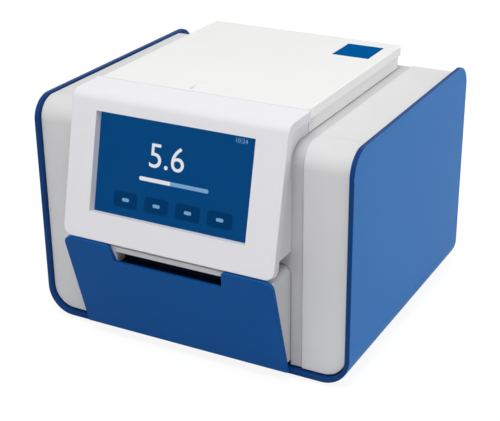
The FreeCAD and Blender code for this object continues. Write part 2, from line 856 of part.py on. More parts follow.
def lid_panel():
    lid = body("lid_panel")
    cap = rectangle("-lid_half", "lid_half", LID_FRONT, LID_END)
    pad(lid, sketch(lid, "XY_Plane", cap, level=LIP_FOOT), "rim_depth")
    skirt = rectangle("-head_half", "head_half", SKIRT_FRONT, SKIRT_END)
    pad(lid, sketch(lid, "XY_Plane", skirt, level=SKIRT_FOOT), f"{LIP_FOOT} - {SKIRT_FOOT}")
    hollow = rectangle("skirt_wall - head_half", "head_half - skirt_wall",
                       f"{SKIRT_FRONT} + skirt_wall", f"{SKIRT_END} - skirt_wall", "2")
    pocket(lid, sketch(lid, "XY_Plane", hollow, level=SKIRT_FOOT),
           f"{HEAD_TOP} - lid_wall - {SKIRT_FOOT}", back=True)
    groove = rectangle("1 - head_half", "head_half - 1", f"{LID_FRONT} + skirt_wall", SKIRT_FRONT)
    pocket(lid, sketch(lid, "XY_Plane", groove, level=LIP_FOOT), "rim_depth - lid_wall", back=True)
    fillet(lid, "3", lambda edge, point:
           near(abs(point.x), "lid_half") and near(edge.Length, "rim_depth"))
    scoop = [
        (f"{LID_FRONT} + thumb_start", f"{HEAD_TOP} + 1"),
        (f"{LID_FRONT} + thumb_start", f"{HEAD_TOP} - thumb_depth"),
        (f"{LID_FRONT} + thumb_start + 1", f"{HEAD_TOP} - thumb_depth"),
        (f"{LID_FRONT} + thumb_start + thumb_length", HEAD_TOP),
        (f"{LID_FRONT} + thumb_start + thumb_length", f"{HEAD_TOP} + 1"),
    ]
    pocket(lid, sketch(lid, "YZ_Plane", scoop, level="thumb_shift"), "thumb_width", both=True)
    label = rectangle("label_x - label_width / 2", "label_x + label_width / 2",
                      "label_y - label_length / 2", "label_y + label_length / 2")
    pocket(lid, sketch(lid, "XY_Plane", label, level=HEAD_TOP), "label_depth")
    for side in (-1, 1):
        knuckle(lid, side)
    hole = dict(x=HINGE_Y, y=HINGE_Z, radius="pin_radius + pin_clearance")
    pocket(lid, sketch(lid, "YZ_Plane", hole), both=True)
    return piece(lid, "lid_panel")


def knuckle(lid, side):
    """The lid's own knuckle of one hinge, outside the fixed one, with the web that carries it."""
    middle = f"{side} * (hinge_spread + knuckle_length / 2 + knuckle_gap / 2)"
    barrel = dict(x=HINGE_Y, y=HINGE_Z, radius="knuckle_radius")
    web = rectangle(f"{SKIRT_END} - 0.5", HINGE_Y, f"{HINGE_Z} - 0.5", f"{HINGE_Z} + knuckle_radius")
    for outline in (barrel, web):
        pad(lid, sketch(lid, "YZ_Plane", outline, level=middle), "knuckle_length", both=True)


def lid_hinge():
    leaves = []
    pins = []
    for side in (-1, 1):
        low = f"{side} * (hinge_spread - knuckle_length / 2 - knuckle_gap / 2) - knuckle_length / 2"
        barrel = cylinder(low, HINGE_Y, HINGE_Z, "knuckle_radius", "knuckle_length", along="x")
        bore = cylinder(f"{low} - 1", HINGE_Y, HINGE_Z, "pin_radius", "knuckle_length + 2", along="x")
        leaf = box(low, f"{low} + knuckle_length", f"{HINGE_Y} - 0.5", f"{HINGE_Y} + leaf_depth",
                   CORE_TOP, f"{CORE_TOP} + leaf_wall")
        leaves.append(cut(fuse(barrel, leaf), bore))
        length = "(2 * knuckle_length + knuckle_gap)"
        pins.append(cylinder(f"{side} * hinge_spread - {length} / 2", HINGE_Y, HINGE_Z,
                             "pin_radius", length, along="x"))
    piece(group(*leaves), "lid_hinge_leaves")
    piece(group(*pins), "lid_hinge_pins")


# Drawer

def drawer_y(height, depth="0"):
    """Y of the drawer's leaning face at a height; depth is measured straight back."""
    return f"(-drawer_reach + (drawer_top - ({height})) * {DRAWER_TAN} + {depth})"


def drawer_front():
    front = body("drawer_front")
    outline = [
        (drawer_y("drawer_foot"), "drawer_foot"),
        (drawer_y("drawer_top"), "drawer_top"),
        (drawer_y("drawer_top", "drawer_wall"), "drawer_top"),
        (drawer_y("drawer_foot", "drawer_wall"), "drawer_foot"),
    ]
    pad(front, sketch(front, "YZ_Plane", outline), "2 * drawer_half", both=True)
    grip = [
        ("-grip_half - grip_flare", "drawer_top + 1"),
        ("-grip_half", "drawer_top - grip_depth", "1.5"),
        ("grip_half", "drawer_top - grip_depth", "1.5"),
        ("grip_half + grip_flare", "drawer_top + 1"),
    ]
    pocket(front, sketch(front, "XZ_Plane", grip), both=True)
    fillet(front, "drawer_corner", lambda edge, point:
           near(abs(point.x), "drawer_half") and near(point.z, "drawer_top"))
    fillet(front, "grip_round", lambda edge, point:
           near(point.z, "drawer_top") and abs(point.x) < value("grip_half + 6")
           and near(edge.Length, "drawer_wall"))
    return piece(front, "drawer_front")


def drawer_backing():
    """The light frame behind the drawer front: a collar that fills the bay's mouth, a leaning
    plate with wider ears above, and the finger recess behind the notch."""
    backing = body("drawer_backing")
    thick = "drawer_wall + backing_wall"
    half = "(bay_half - collar_gap)"
    top = "(bay_top - collar_gap)"
    block = [
        (drawer_y("backing_foot", thick) + " - 1", "backing_foot"),
        (drawer_y(top, thick) + " - 1", top),
        ("collar_end", top),
        ("collar_end", "backing_foot"),
    ]
    pad(backing, sketch(backing, "YZ_Plane", block), f"2 * {half}", both=True)
    fillet(backing, "bay_corner - collar_gap", lambda edge, point:
           near(abs(point.x), half) and near(point.z, top))
    inner = [
        (f"collar_sheet - {half}", "backing_foot - 1"),
        (f"{half} - collar_sheet", "backing_foot - 1"),
        (f"{half} - collar_sheet", f"{top} - collar_sheet", "bay_corner - collar_gap - collar_sheet"),
        (f"collar_sheet - {half}", f"{top} - collar_sheet", "bay_corner - collar_gap - collar_sheet"),
    ]
    pocket(backing, sketch(backing, "XZ_Plane", inner), both=True)
    outline = [
        (drawer_y("backing_foot", "drawer_wall"), "backing_foot"),
        (drawer_y("backing_top", "drawer_wall"), "backing_top"),
        (drawer_y("backing_top", thick), "backing_top"),
        (drawer_y("backing_foot", thick), "backing_foot"),
    ]
    pad(backing, sketch(backing, "YZ_Plane", outline), "2 * backing_half", both=True)
    steps = [
        rectangle(*across(side, half, "(backing_half + 1)"), "backing_foot - 1", "backing_step")
        for side in (-1, 1)
    ]
    pocket(backing, sketch(backing, "XZ_Plane", *steps), both=True)
    low = "(finger_foot - finger_wall)"
    bin_outline = [
        (drawer_y(low, thick) + " - 0.5", low),
        (drawer_y("backing_top", thick) + " - 0.5", "backing_top"),
        (drawer_y("backing_top", thick) + " + finger_depth", "backing_top"),
        (drawer_y("backing_top", thick) + " + finger_depth", low),
    ]
    pad(backing, sketch(backing, "YZ_Plane", bin_outline), "2 * (finger_half + finger_wall)", both=True)
    rear = drawer_y("backing_top", thick) + " + finger_depth - finger_wall"
    hollow = [
        (drawer_y("finger_foot", "drawer_wall") + " - 1", "finger_foot"),
        (drawer_y("finger_top", "drawer_wall") + " - 1", "finger_top"),
        (drawer_y("finger_top", thick) + " + 1", "finger_top"),
        (drawer_y("finger_top", thick) + " + 1", "backing_top - finger_wall / 2"),
        (rear, "backing_top - finger_wall / 2"),
        (rear, "finger_foot"),
    ]
    pocket(backing, sketch(backing, "YZ_Plane", hollow), "2 * finger_half", both=True)
    return piece(backing, "drawer_backing")


def drawer_tray():
    tray = body("drawer_tray")
    thick = "drawer_wall + backing_wall"
    outline = [
        (drawer_y("tray_foot", thick), "tray_foot"),
        (drawer_y("finger_foot - finger_wall", thick), "finger_foot - finger_wall"),
        (drawer_y("cheek_top", thick), "cheek_top"),
        ("cheek_end", "cheek_top"),
        ("cheek_slope", "tray_top"),
        ("tray_end", "tray_top"),
        ("tray_end", "tray_foot"),
    ]
    pad(tray, sketch(tray, "YZ_Plane", outline), "2 * tray_half", both=True)
    hollow = [
        (drawer_y("tray_foot + tray_wall", thick) + " - 1", "tray_foot + tray_wall"),
        (drawer_y("cheek_top + 1", thick) + " - 1", "cheek_top + 1"),
        ("tray_end - tray_wall", "cheek_top + 1"),
        ("tray_end - tray_wall", "tray_foot + tray_wall"),
    ]
    pocket(tray, sketch(tray, "YZ_Plane", hollow), "2 * (tray_half - tray_wall)", both=True)
    divider = rectangle("rack_front", "tray_end - tray_wall + 0.5", "tray_foot + tray_wall - 0.5",
                        "tray_top - 12")
    pad(tray, sketch(tray, "YZ_Plane", divider, level="rack_right + rack_wall"), "tray_wall")
    return piece(tray, "drawer_tray")


def sample_rack():
    """A lift-out insert with four open lanes for sample carriers."""
    rack = body("sample_rack")
    floor = "(tray_foot + tray_wall)"
    plan = rectangle("-rack_left", "rack_right", "rack_front", "rack_front + rack_length")
    pad(rack, sketch(rack, "XY_Plane", plan, level=floor), "rack_height")
    lanes = []
    for lane in range(4):
        pitch = "(rack_left + rack_right - rack_wall) / 4"
        left = f"-rack_left + rack_wall + {lane} * {pitch}"
        lanes.append(rectangle(left, f"{left} + {pitch} - rack_wall", "rack_front + rack_wall",
                               "rack_front + rack_length - rack_wall"))
    pocket(rack, sketch(rack, "XY_Plane", *lanes, level=f"{floor} + rack_height"),
           "rack_height - rack_wall")
    return piece(rack, "sample_rack")


def rails():
    moving = []
    fixed = []
    gap = "slide_clearance"
    for side in (-1, 1):
        low, high = across(side, "tray_half", "tray_half + rail_wall")
        moving.append(box(low, high, "rail_start", "rail_start + rail_length",
                          "rail_foot", "rail_foot + rail_rise"))
        inner = f"tray_half + {gap}"
        outer = f"tray_half + rail_wall + {gap} + runner_web"
        low, high = across(side, inner, outer)
        block = box(low, high, "runner_start", "runner_start + runner_length",
                    f"rail_foot - {gap} - runner_wall", f"rail_foot + rail_rise + {gap} + runner_wall")
        low, high = across(side, "tray_half", f"tray_half + rail_wall + {gap}")
        slot = box(low, high, "runner_start - 1", "runner_start + runner_length + 1",
                   f"rail_foot - {gap}", f"rail_foot + rail_rise + {gap}")
        low, high = across(side, f"{outer} - 0.2", SIDE_FACE)
        pads = [
            box(low, high, start, f"{start} + runner_pad", "rail_foot", "rail_foot + rail_rise")
            for start in ("runner_start + pad_inset",
                          "runner_start + runner_length - pad_inset - runner_pad")
        ]
        fixed.append(fuse(cut(block, slot), *pads))
    piece(group(*moving), "drawer_rails")
    piece(group(*fixed), "bay_rails")


# Folded steel inside

def chassis_tray():
    """A folded floor plate with an upstand at its rear edge."""
    tray = body("chassis_tray")
    outline = [
        ("chassis_start", "shell_wall"),
        (CHASSIS_END, "shell_wall"),
        (CHASSIS_END, "shell_wall + chassis_lip"),
        (f"{CHASSIS_END} - chassis_wall", "shell_wall + chassis_lip"),
        (f"{CHASSIS_END} - chassis_wall", CHASSIS_TOP),
        ("chassis_start", CHASSIS_TOP),
    ]
    pad(tray, sketch(tray, "YZ_Plane", outline), f"2 * {CHASSIS_HALF}", both=True)
    return piece(tray, "chassis_tray")


def chassis_side(name, side):
    wall = body(name)
    foot = CHASSIS_TOP
    top = f"({DECK_RIM} - deck_wall)"
    outline = [
        (f"{side} * {SIDE_FACE}", foot),
        (f"{side} * ({SIDE_FACE} + side_flange)", foot),
        (f"{side} * ({SIDE_FACE} + side_flange)", f"{foot} + chassis_wall"),
        (f"{side} * ({SIDE_FACE} + chassis_wall)", f"{foot} + chassis_wall"),
        (f"{side} * ({SIDE_FACE} + chassis_wall)", f"{top} - chassis_wall"),
        (f"{side} * ({SIDE_FACE} + side_flange)", f"{top} - chassis_wall"),
        (f"{side} * ({SIDE_FACE} + side_flange)", top),
        (f"{side} * {SIDE_FACE}", top),
    ]
    drawing = sketch(wall, "XZ_Plane", outline, level="-side_start")
    pad(wall, drawing, f"{SIDE_END} - side_start", back=True)
    windows = [
        rectangle(f"side_start + window_inset + {step} * window_pitch",
                  f"side_start + window_inset + side_window + {step} * window_pitch",
                  f"{foot} + window_lift", f"{foot} + window_lift + side_window")
        for step in range(3)
    ]
    pocket(wall, sketch(wall, "YZ_Plane", *windows), both=True)
    return piece(wall, name)


# Deck under the lid

def around(radius, angle):
    """A point about the pipettor's column."""
    return f"arm_x + {radius} * cos({angle})", f"arm_y + {radius} * sin({angle})"


def deck_shroud():
    """Moulded walls that stand on the deck plate, with a rim under the core housing."""
    shroud = body("deck_shroud")
    wide = f"({SIDE_FACE} + side_flange)"
    rim = rectangle(f"-{wide}", wide, "side_start", SIDE_END)
    pad(shroud, sketch(shroud, "XY_Plane", rim, level=f"{DECK_RIM} - deck_wall"), "deck_wall")
    tub = rectangle("-deck_half", "deck_half", "deck_front", DECK_BACK)
    pad(shroud, sketch(shroud, "XY_Plane", tub, level=DECK_TOP), f"{DECK_RIM} - {DECK_TOP} - 1")
    hollow = rectangle("deck_wall - deck_half", "deck_half - deck_wall",
                       "deck_front + deck_wall", f"{DECK_BACK} - deck_wall", "4")
    pocket(shroud, sketch(shroud, "XY_Plane", hollow, level=f"{DECK_RIM} + 1"))
    return piece(shroud, "deck_shroud")


def deck_plate():
    """The plate that carries the rotor, its drive and the pipettor."""
    deck = body("deck_plate")
    floor = rectangle("-deck_half", "deck_half", "deck_front", DECK_BACK)
    port_x, port_y = around("arm_reach", "port_angle")
    wash_x, wash_y = around("arm_reach", "wash_angle")
    holes = [
        dict(x="rotor_x", y="rotor_y", radius="bearing_radius"),
        dict(x="arm_x", y="arm_y", radius="shaft_radius + 1"),
        dict(x=port_x, y=port_y, radius="port_radius"),
        dict(x=wash_x, y=wash_y, radius="port_radius"),
    ]
    pad(deck, sketch(deck, "XY_Plane", floor, *holes, level=DECK_FLOOR), "deck_wall")
    return piece(deck, "deck_plate")


def rotor_bearing():
    flange = cylinder("rotor_x", "rotor_y", DECK_TOP, "bearing_flange", "1.5")
    sleeve = cylinder("rotor_x", "rotor_y", f"{DECK_TOP} - deck_wall - bearing_drop",
                      "bearing_radius", "bearing_drop + deck_wall + 0.5")
    bore = cylinder("rotor_x", "rotor_y", f"{DECK_FLOOR} - 20", "spindle_radius + spindle_clearance", "40")
    return piece(cut(fuse(flange, sleeve), bore), "rotor_bearing")


def rotor_spindle():
    foot = f"{PLATE_LEVEL} - 2"
    shaft = cylinder("rotor_x", "rotor_y", foot, "spindle_radius", f"{ROTOR_LEVEL} - ({foot})")
    collar = cylinder("rotor_x", "rotor_y", f"{DECK_TOP} + 1.6", "bearing_flange - 3", "2")
    return piece(fuse(shaft, collar), "rotor_spindle")


def rotor_hub():
    """The hub that carries the disc on the spindle, with a finger knob on top."""
    collar_top = f"{DECK_TOP} + 3.6"
    knob_top = f"({ROTOR_LEVEL} + rotor_disc + rotor_knob)"
    hub = cylinder("rotor_x", "rotor_y", collar_top, "rotor_boss", f"{ROTOR_LEVEL} - ({collar_top})")
    neck = cylinder("rotor_x", "rotor_y", collar_top, "rotor_neck", f"{knob_top} - ({collar_top})")
    knob = cylinder("rotor_x", "rotor_y", f"{ROTOR_LEVEL} + rotor_disc", "rotor_boss", "rotor_knob")
    bore = cylinder("rotor_x", "rotor_y", f"{collar_top} - 1", "spindle_radius",
                    f"{ROTOR_LEVEL} + 1 - ({collar_top})")
    return piece(cut(fuse(hub, neck, knob), bore), "rotor_hub")


def reaction_rotor():
    """A disc with a ring of cuvettes below it."""
    rotor = body("reaction_rotor")
    disc = dict(x="0", y="0", radius="rotor_radius")
    hole = dict(x="0", y="0", radius="rotor_neck")
    pad(rotor, sketch(rotor, "XY_Plane", disc, hole, level=ROTOR_LEVEL), "rotor_disc")
    cup = rectangle("cuvette_ring - cuvette_size / 2", "cuvette_ring + cuvette_size / 2",
                    "-cuvette_size / 2", "cuvette_size / 2")
    cups = pad(rotor, sketch(rotor, "XY_Plane", cup, level=f"{ROTOR_LEVEL} - cuvette_drop"),
               "cuvette_drop + 0.5")
    well = rectangle("cuvette_ring - cuvette_size / 2 + cuvette_wall",
                     "cuvette_ring + cuvette_size / 2 - cuvette_wall",
                     "cuvette_wall - cuvette_size / 2", "cuvette_size / 2 - cuvette_wall")
    wells = pocket(rotor, sketch(rotor, "XY_Plane", well, level=f"{ROTOR_LEVEL} + rotor_disc + 1"),
                   "cuvette_drop + rotor_disc")
    repeat(rotor, "Polar", "Z_Axis", [cups, wells], CUVETTES)
    move(rotor, "rotor_x", "rotor_y", "0")
    return piece(rotor, "reaction_rotor")


def gear_wire(teeth, turn):
    """Outline of a spur gear with involute flanks, each flank as short chords."""
    module = value("gear_module")
    pitch = module * teeth / 2
    tip = pitch + module
    root = pitch - 1.25 * module
    base = pitch * math.cos(PRESSURE_ANGLE)
    backlash = GEAR_BACKLASH / pitch

    def roll(radius):
        angle = math.acos(min(1.0, base / radius))
        return math.tan(angle) - angle

    half = math.pi / (2 * teeth) - backlash / 2 + roll(pitch)
    steps = 3
    points = []
    for tooth in range(teeth):
        middle = turn + 2 * math.pi * tooth / teeth
        low = max(base, root)
        radii = [low + (tip - low) * step / (steps - 1) for step in range(steps)]
        flank = [(radius, half - roll(radius)) for radius in radii]
        left = ([(root, half)] if root < base else []) + flank
        side = [(radius, middle - angle) for radius, angle in left]
        other = [(radius, middle + angle) for radius, angle in reversed(left)]
        points += [Vector(radius * math.cos(angle), radius * math.sin(angle), 0)
                   for radius, angle in side + other]
    return Part.makePolygon(points + [points[0]])


def gear(name, teeth, turn, x, y, bore):
    outlines = [gear_wire(teeth, turn), Part.Wire(Part.makeCircle(value(bore)))]
    face = Part.makeFace(outlines, "Part::FaceMakerBullseye")
    made = document.addObject("Part::Feature", name)
    made.Shape = face.extrude(Vector(0, 0, value("gear_wall")))
    move(made, x, y, GEAR_LEVEL)
    return piece(made, name)


def rotor_drive():
    centres = f"gear_module * {GEAR_TEETH + PINION_TEETH} / 2"
    motor_x = f"(rotor_x - {centres})"
    gear("rotor_gear", GEAR_TEETH, 0, "rotor_x", "rotor_y", "spindle_radius")
    gear("motor_pinion", PINION_TEETH, math.pi / PINION_TEETH, motor_x, "rotor_y", "motor_shaft")
    left = f"{motor_x} - motor_size / 2 - 3"
    sheet = box(left, "rotor_x + plate_half", "rotor_y - plate_half", "rotor_y + plate_half",
                PLATE_LEVEL, f"{PLATE_LEVEL} + plate_wall")
    spindle_hole = cylinder("rotor_x", "rotor_y", f"{PLATE_LEVEL} - 1",
                            "spindle_radius + spindle_clearance", "plate_wall + 2")
    shaft_hole = cylinder(motor_x, "rotor_y", f"{PLATE_LEVEL} - 1", "motor_shaft + 1.5", "plate_wall + 2")
    piece(cut(sheet, spindle_hole, shaft_hole), "gear_plate")
    posts = [
        spacer(x, y, f"{PLATE_LEVEL} + plate_wall", "post_radius",
               f"{DECK_FLOOR} - {PLATE_LEVEL} - plate_wall")
        for x in (f"{left} + post_inset", "rotor_x + plate_half - post_inset")
        for y in ("rotor_y - plate_half + post_inset", "rotor_y + plate_half - post_inset")
    ]
    piece(group(*posts), "plate_standoffs")
    can = body("rotor_motor")
    half = "motor_size / 2"
    square = [
        (f"{motor_x} + {across} * {half} - {across} * {near}", f"rotor_y + {up} * {half} - {up} * {far}")
        for across, up, near, far in (
            (-1, -1, "4", "0"), (1, -1, "4", "0"), (1, -1, "0", "4"), (1, 1, "0", "4"),
            (1, 1, "4", "0"), (-1, 1, "4", "0"), (-1, 1, "0", "4"), (-1, -1, "0", "4"),
        )
    ]
    pad(can, sketch(can, "XY_Plane", square, level=f"{PLATE_LEVEL} - motor_length"), "motor_length")
    piece(can, "rotor_motor")
    shaft = cylinder(motor_x, "rotor_y", f"{PLATE_LEVEL} + 0.1", "motor_shaft",
                     f"{GEAR_LEVEL} + gear_wall - {PLATE_LEVEL}")
    piece(shaft, "motor_shaft_pin")


def incubator_ring():
    """A heated trough round the cuvettes, open where the optics stand."""
    trough = body("incubator_ring")
    inner = "(cuvette_ring - cuvette_size / 2 - trough_gap)"
    outer = "(cuvette_ring + cuvette_size / 2 + 1 + trough_gap)"
    outline = [
        (inner, DECK_TOP),
        (f"{outer} + trough_wall", DECK_TOP),
        (f"{outer} + trough_wall", f"{DECK_TOP} + trough_rise"),
        (outer, f"{DECK_TOP} + trough_rise"),
        (outer, f"{DECK_TOP} + 2"),
        (inner, f"{DECK_TOP} + 2"),
    ]
    turned = trough.newObject("PartDesign::Revolution", "trough")
    drawing = sketch(trough, "XZ_Plane", outline)
    turned.Profile = drawing
    turned.ReferenceAxis = (drawing, ["V_Axis"])
    turned.Angle = 320
    trough.Tip = turned
    trough.Placement = Placement(Vector(), Rotation(Vector(0, 0, 1), 110))
    move(trough, "rotor_x", "rotor_y", "0")
    return piece(trough, "incubator_ring")


def photometer():
    inner_face = "(rotor_y + cuvette_ring - cuvette_size / 2 - optic_gap)"
    outer_face = "(rotor_y + cuvette_ring + cuvette_size / 2 + 1 + optic_gap)"
    low, high = "rotor_x - optic_width / 2", "rotor_x + optic_width / 2"
    start = f"{inner_face} - source_length"
    end = f"{outer_face} + detector_length"
    base = box(low, high, start, end, DECK_TOP, f"{DECK_TOP} + optic_base")
    source = box(low, high, start, inner_face, DECK_TOP, f"{DECK_TOP} + source_rise")
    detector = box(low, high, outer_face, end, DECK_TOP, f"{DECK_TOP} + detector_rise")
    seat = f"{inner_face} - 3"
    axis_z = f"{DECK_TOP} + beam_rise"
    beam = cylinder("rotor_x", seat, axis_z, "lens_radius", "lens_length + 0.5", along="y")
    piece(cut(fuse(base, source, detector), beam), "photometer_block")
    lens = cylinder("rotor_x", seat, axis_z, "lens_radius - 0.02", "lens_length", along="y")
    piece(lens, "photometer_lens")


# Pipettor

def pipettor():
    base = cylinder("arm_x", "arm_y", DECK_TOP, "base_radius", "base_rise")
    bore = cylinder("arm_x", "arm_y", f"{DECK_FLOOR} - 1", "shaft_radius + spindle_clearance", "60")
    piece(cut(base, bore), "pipette_base")
    drive = box("arm_x - drive_half", "arm_x + drive_half", "arm_y - drive_half", "arm_y + drive_half",
                f"{DECK_FLOOR} - drive_rise", DECK_FLOOR)
    way = cylinder("arm_x", "arm_y", f"{DECK_FLOOR} - 40", "shaft_radius + 1", "80")
    piece(cut(drive, way), "pipette_drive")
    shaft = cylinder("arm_x", "arm_y", SHAFT_FOOT, "shaft_radius", f"{ARM_LEVEL} + 7 - {SHAFT_FOOT}")
    piece(shaft, "pipette_shaft")

    arm = body("pipette_arm")
    angle = "wash_angle"
    tip_x, tip_y = f"arm_reach * cos({angle})", f"arm_reach * sin({angle})"
    hub = dict(x="0", y="0", radius="hub_radius")
    pad(arm, sketch(arm, "XY_Plane", hub, level=ARM_LEVEL), "arm_rise")
    nose = dict(x=tip_x, y=tip_y, radius="nose_radius")
    pad(arm, sketch(arm, "XY_Plane", nose, level=ARM_LEVEL), "arm_rise")
    beam = [
        (f"6 * sin({angle})", f"-6 * cos({angle})"),
        (f"{tip_x} + 5 * sin({angle})", f"{tip_y} - 5 * cos({angle})"),
        (f"{tip_x} - 5 * sin({angle})", f"{tip_y} + 5 * cos({angle})"),
        (f"-6 * sin({angle})", f"6 * cos({angle})"),
    ]
    pad(arm, sketch(arm, "XY_Plane", beam, level=ARM_LEVEL), "arm_rise - 1")
    hole = dict(x="0", y="0", radius="shaft_radius + spindle_clearance")
    pocket(arm, sketch(arm, "XY_Plane", hole, level=f"{ARM_LEVEL} - 1"), "8.1", back=True)
    grip = dict(x=tip_x, y=tip_y, radius="needle_radius")
    pocket(arm, sketch(arm, "XY_Plane", grip, level=f"{ARM_LEVEL} - 1"), "6", back=True)
    move(arm, "arm_x", "arm_y", "0")
    piece(arm, "pipette_arm")
    needle_x, needle_y = around("arm_reach", "wash_angle")
    needle = cylinder(needle_x, needle_y, f"{ARM_LEVEL} - needle_drop", "needle_radius", "needle_drop + 5")
    piece(needle, "pipette_needle")


def well(name, angle, depth):
    """A cup that hangs by its rim in a hole of the deck, under the needle's path."""
    x, y = around("arm_reach", angle)
    rim = cylinder(x, y, DECK_TOP, "port_radius + 2", "port_rise")
    cup = cylinder(x, y, f"{DECK_TOP} - {depth}", "port_radius - 0.1", f"{depth} + port_rise")
    hollow = cylinder(x, y, f"{DECK_TOP} - {depth} + port_wall", "port_radius - port_wall",
                      f"{depth} + port_rise")
    return piece(cut(fuse(rim, cup), hollow), name)


def reagents():
    bottles = []
    caps = []
    half = "bottle_size / 2"
    top = f"({DECK_TOP} + bottle_rise)"
    for angle in ("bottle_angle_far", "bottle_angle_near"):
        x, y = around("arm_reach", angle)
        block = box(f"{x} - {half}", f"{x} + {half}", f"{y} - {half}", f"{y} + {half}", DECK_TOP, top)
        room = f"({half} - bottle_wall)"
        inside = box(f"{x} - {room}", f"{x} + {room}", f"{y} - {room}", f"{y} + {room}",
                     f"{DECK_TOP} + bottle_wall", f"{top} - bottle_wall")
        mouth = cylinder(x, y, f"{top} - 4", "neck_radius - neck_wall", "8")
        bottles.append(cut(block, inside, mouth))
        cap = cylinder(x, y, top, "neck_radius", "neck_rise")
        hole = cylinder(x, y, f"{top} - 1", "neck_radius - neck_wall", "neck_rise + 2")
        caps.append(cut(cap, hole))
    piece(group(*bottles), "reagent_bottles")
    piece(group(*caps), "bottle_caps")


# Electronics

# Chips and sockets on the main board: start, length, foot, rise and height off the board
BOARD_CHIPS = (
    (20, 24, 50, 24, 2),
    (60, 14, 60, 10, 1.5),
    (80, 34, 6, 9, 9),
    (14, 40, 88, 8, 7),
    (90, 18, 48, 18, 5),
)


def main_board():
    board_x = f"({SIDE_FACE} + chassis_wall + board_gap)"
    face = f"({board_x} + board_wall)"
    sheet = box(f"-{face}", f"-{board_x}", "board_start", "board_start + board_length",
                "board_foot", "board_foot + board_rise")
    chips = [
        box(f"-({face} + {height})", f"-({face} - 0.2)",
            f"board_start + {start}", f"board_start + {start + length}",
            f"board_foot + {foot}", f"board_foot + {foot + rise}")
        for start, length, foot, rise, height in BOARD_CHIPS
    ]
    piece(fuse(sheet, *chips), "main_board")
    posts = [
        spacer(f"-{board_x}", y, z, "board_post", "board_gap", along="x")
        for y in ("board_start + board_inset", "board_start + board_length - board_inset")
        for z in ("board_foot + board_inset", "board_foot + board_rise - board_inset")
    ]
    piece(group(*posts), "board_standoffs")


def power_supply():
    low, high = "supply_x - supply_width / 2", "supply_x + supply_width / 2"
    end = f"({PANEL_BACK} - supply_gap)"
    start = f"({end} - supply_length)"
    middle = f"({end} - supply_length / 2)"
    lift = f"({CHASSIS_TOP} + chassis_wall + supply_lift)"
    top = f"({lift} + board_wall - 0.2)"
    base = box(low, high, start, end, CHASSIS_TOP, f"{CHASSIS_TOP} + chassis_wall")
    board = box(f"{low} + supply_inset", f"{high} - supply_inset", f"{start} + supply_inset",
                f"{end} - supply_inset", lift, f"{lift} + board_wall")
    legs = [
        spacer(x, y, f"{CHASSIS_TOP} + 1", "leg_radius", "supply_lift + 0.7")
        for x in (f"{low} + leg_inset", f"{high} - leg_inset")
        for y in (f"{start} + leg_inset", f"{end} - leg_inset")
    ]
    coil = box("supply_x - winding_shift", "supply_x - winding_shift + winding_width",
               f"{start} + leg_inset", f"{end} - leg_inset", top, f"{top} + winding_rise")
    cans = [
        cylinder(f"supply_x {sign} can_spread", middle, top, "can_radius", "can_rise")
        for sign in "-+"
    ]
    sink = box("supply_x + winding_shift", "supply_x + winding_shift + sink_wall",
               f"{start} + 5", f"{end} - 5", top, f"{top} + can_rise")
    return piece(fuse(base, board, coil, sink, *legs, *cans), "power_supply")


def rear_panel():
    panel = body("rear_panel")
    half = f"({INNER_HALF} - fairing_gap)"
    corner = "shell_corner - shell_wall - fairing_gap"
    top = f"({FAIRING_TOP} - {FAIRING_BROW})"
    foot = "shell_wall + fairing_gap"
    sheet = [
        (f"-{half}", foot, corner),
        (half, foot, corner),
        (half, top),
        (f"-{half}", top),
    ]
    openings = [
        rectangle("inlet_x - 14.2", "inlet_x + 14.2", "inlet_z - 10.2", "inlet_z + 10.2"),
        rectangle(f"{SWITCH_X} - 9.7", f"{SWITCH_X} + 9.7", "inlet_z - 12.7", "inlet_z + 12.7"),
        rectangle("ports_x - 30.2", "ports_x + 30.2", "ports_z - 8.2", "ports_z + 8.2"),
    ]
    pad(panel, sketch(panel, "XZ_Plane", sheet, level=f"-{PANEL_BACK}"), "panel_wall", back=True)
    pocket(panel, sketch(panel, "XZ_Plane", *openings), both=True)
    slots = [
        rectangle(f"{x} - vent_half", f"{x} + vent_half", f"{FAN_Z} - 24", f"{FAN_Z} - 24 + vent_rise")
        for x in ("fan_x", "-fan_x")
    ]
    vents = pocket(panel, sketch(panel, "XZ_Plane", *slots), both=True)
    repeat(panel, "Linear", "Z_Axis", [vents], VENT_ROWS, "8 * 6")
    return piece(panel, "rear_panel")


def rear_screws():
    half = f"({INNER_HALF} - fairing_gap - 8)"
    high = "(shell_height - screw_inset)"
    places = [(f"{side} * {half}", z) for side in (-1, 1) for z in ("screw_rise", high)]
    heads = [spacer(x, PANEL_FACE, z, "screw_head", "2", along="y") for x, z in places]
    return piece(group(*heads), "rear_screws")


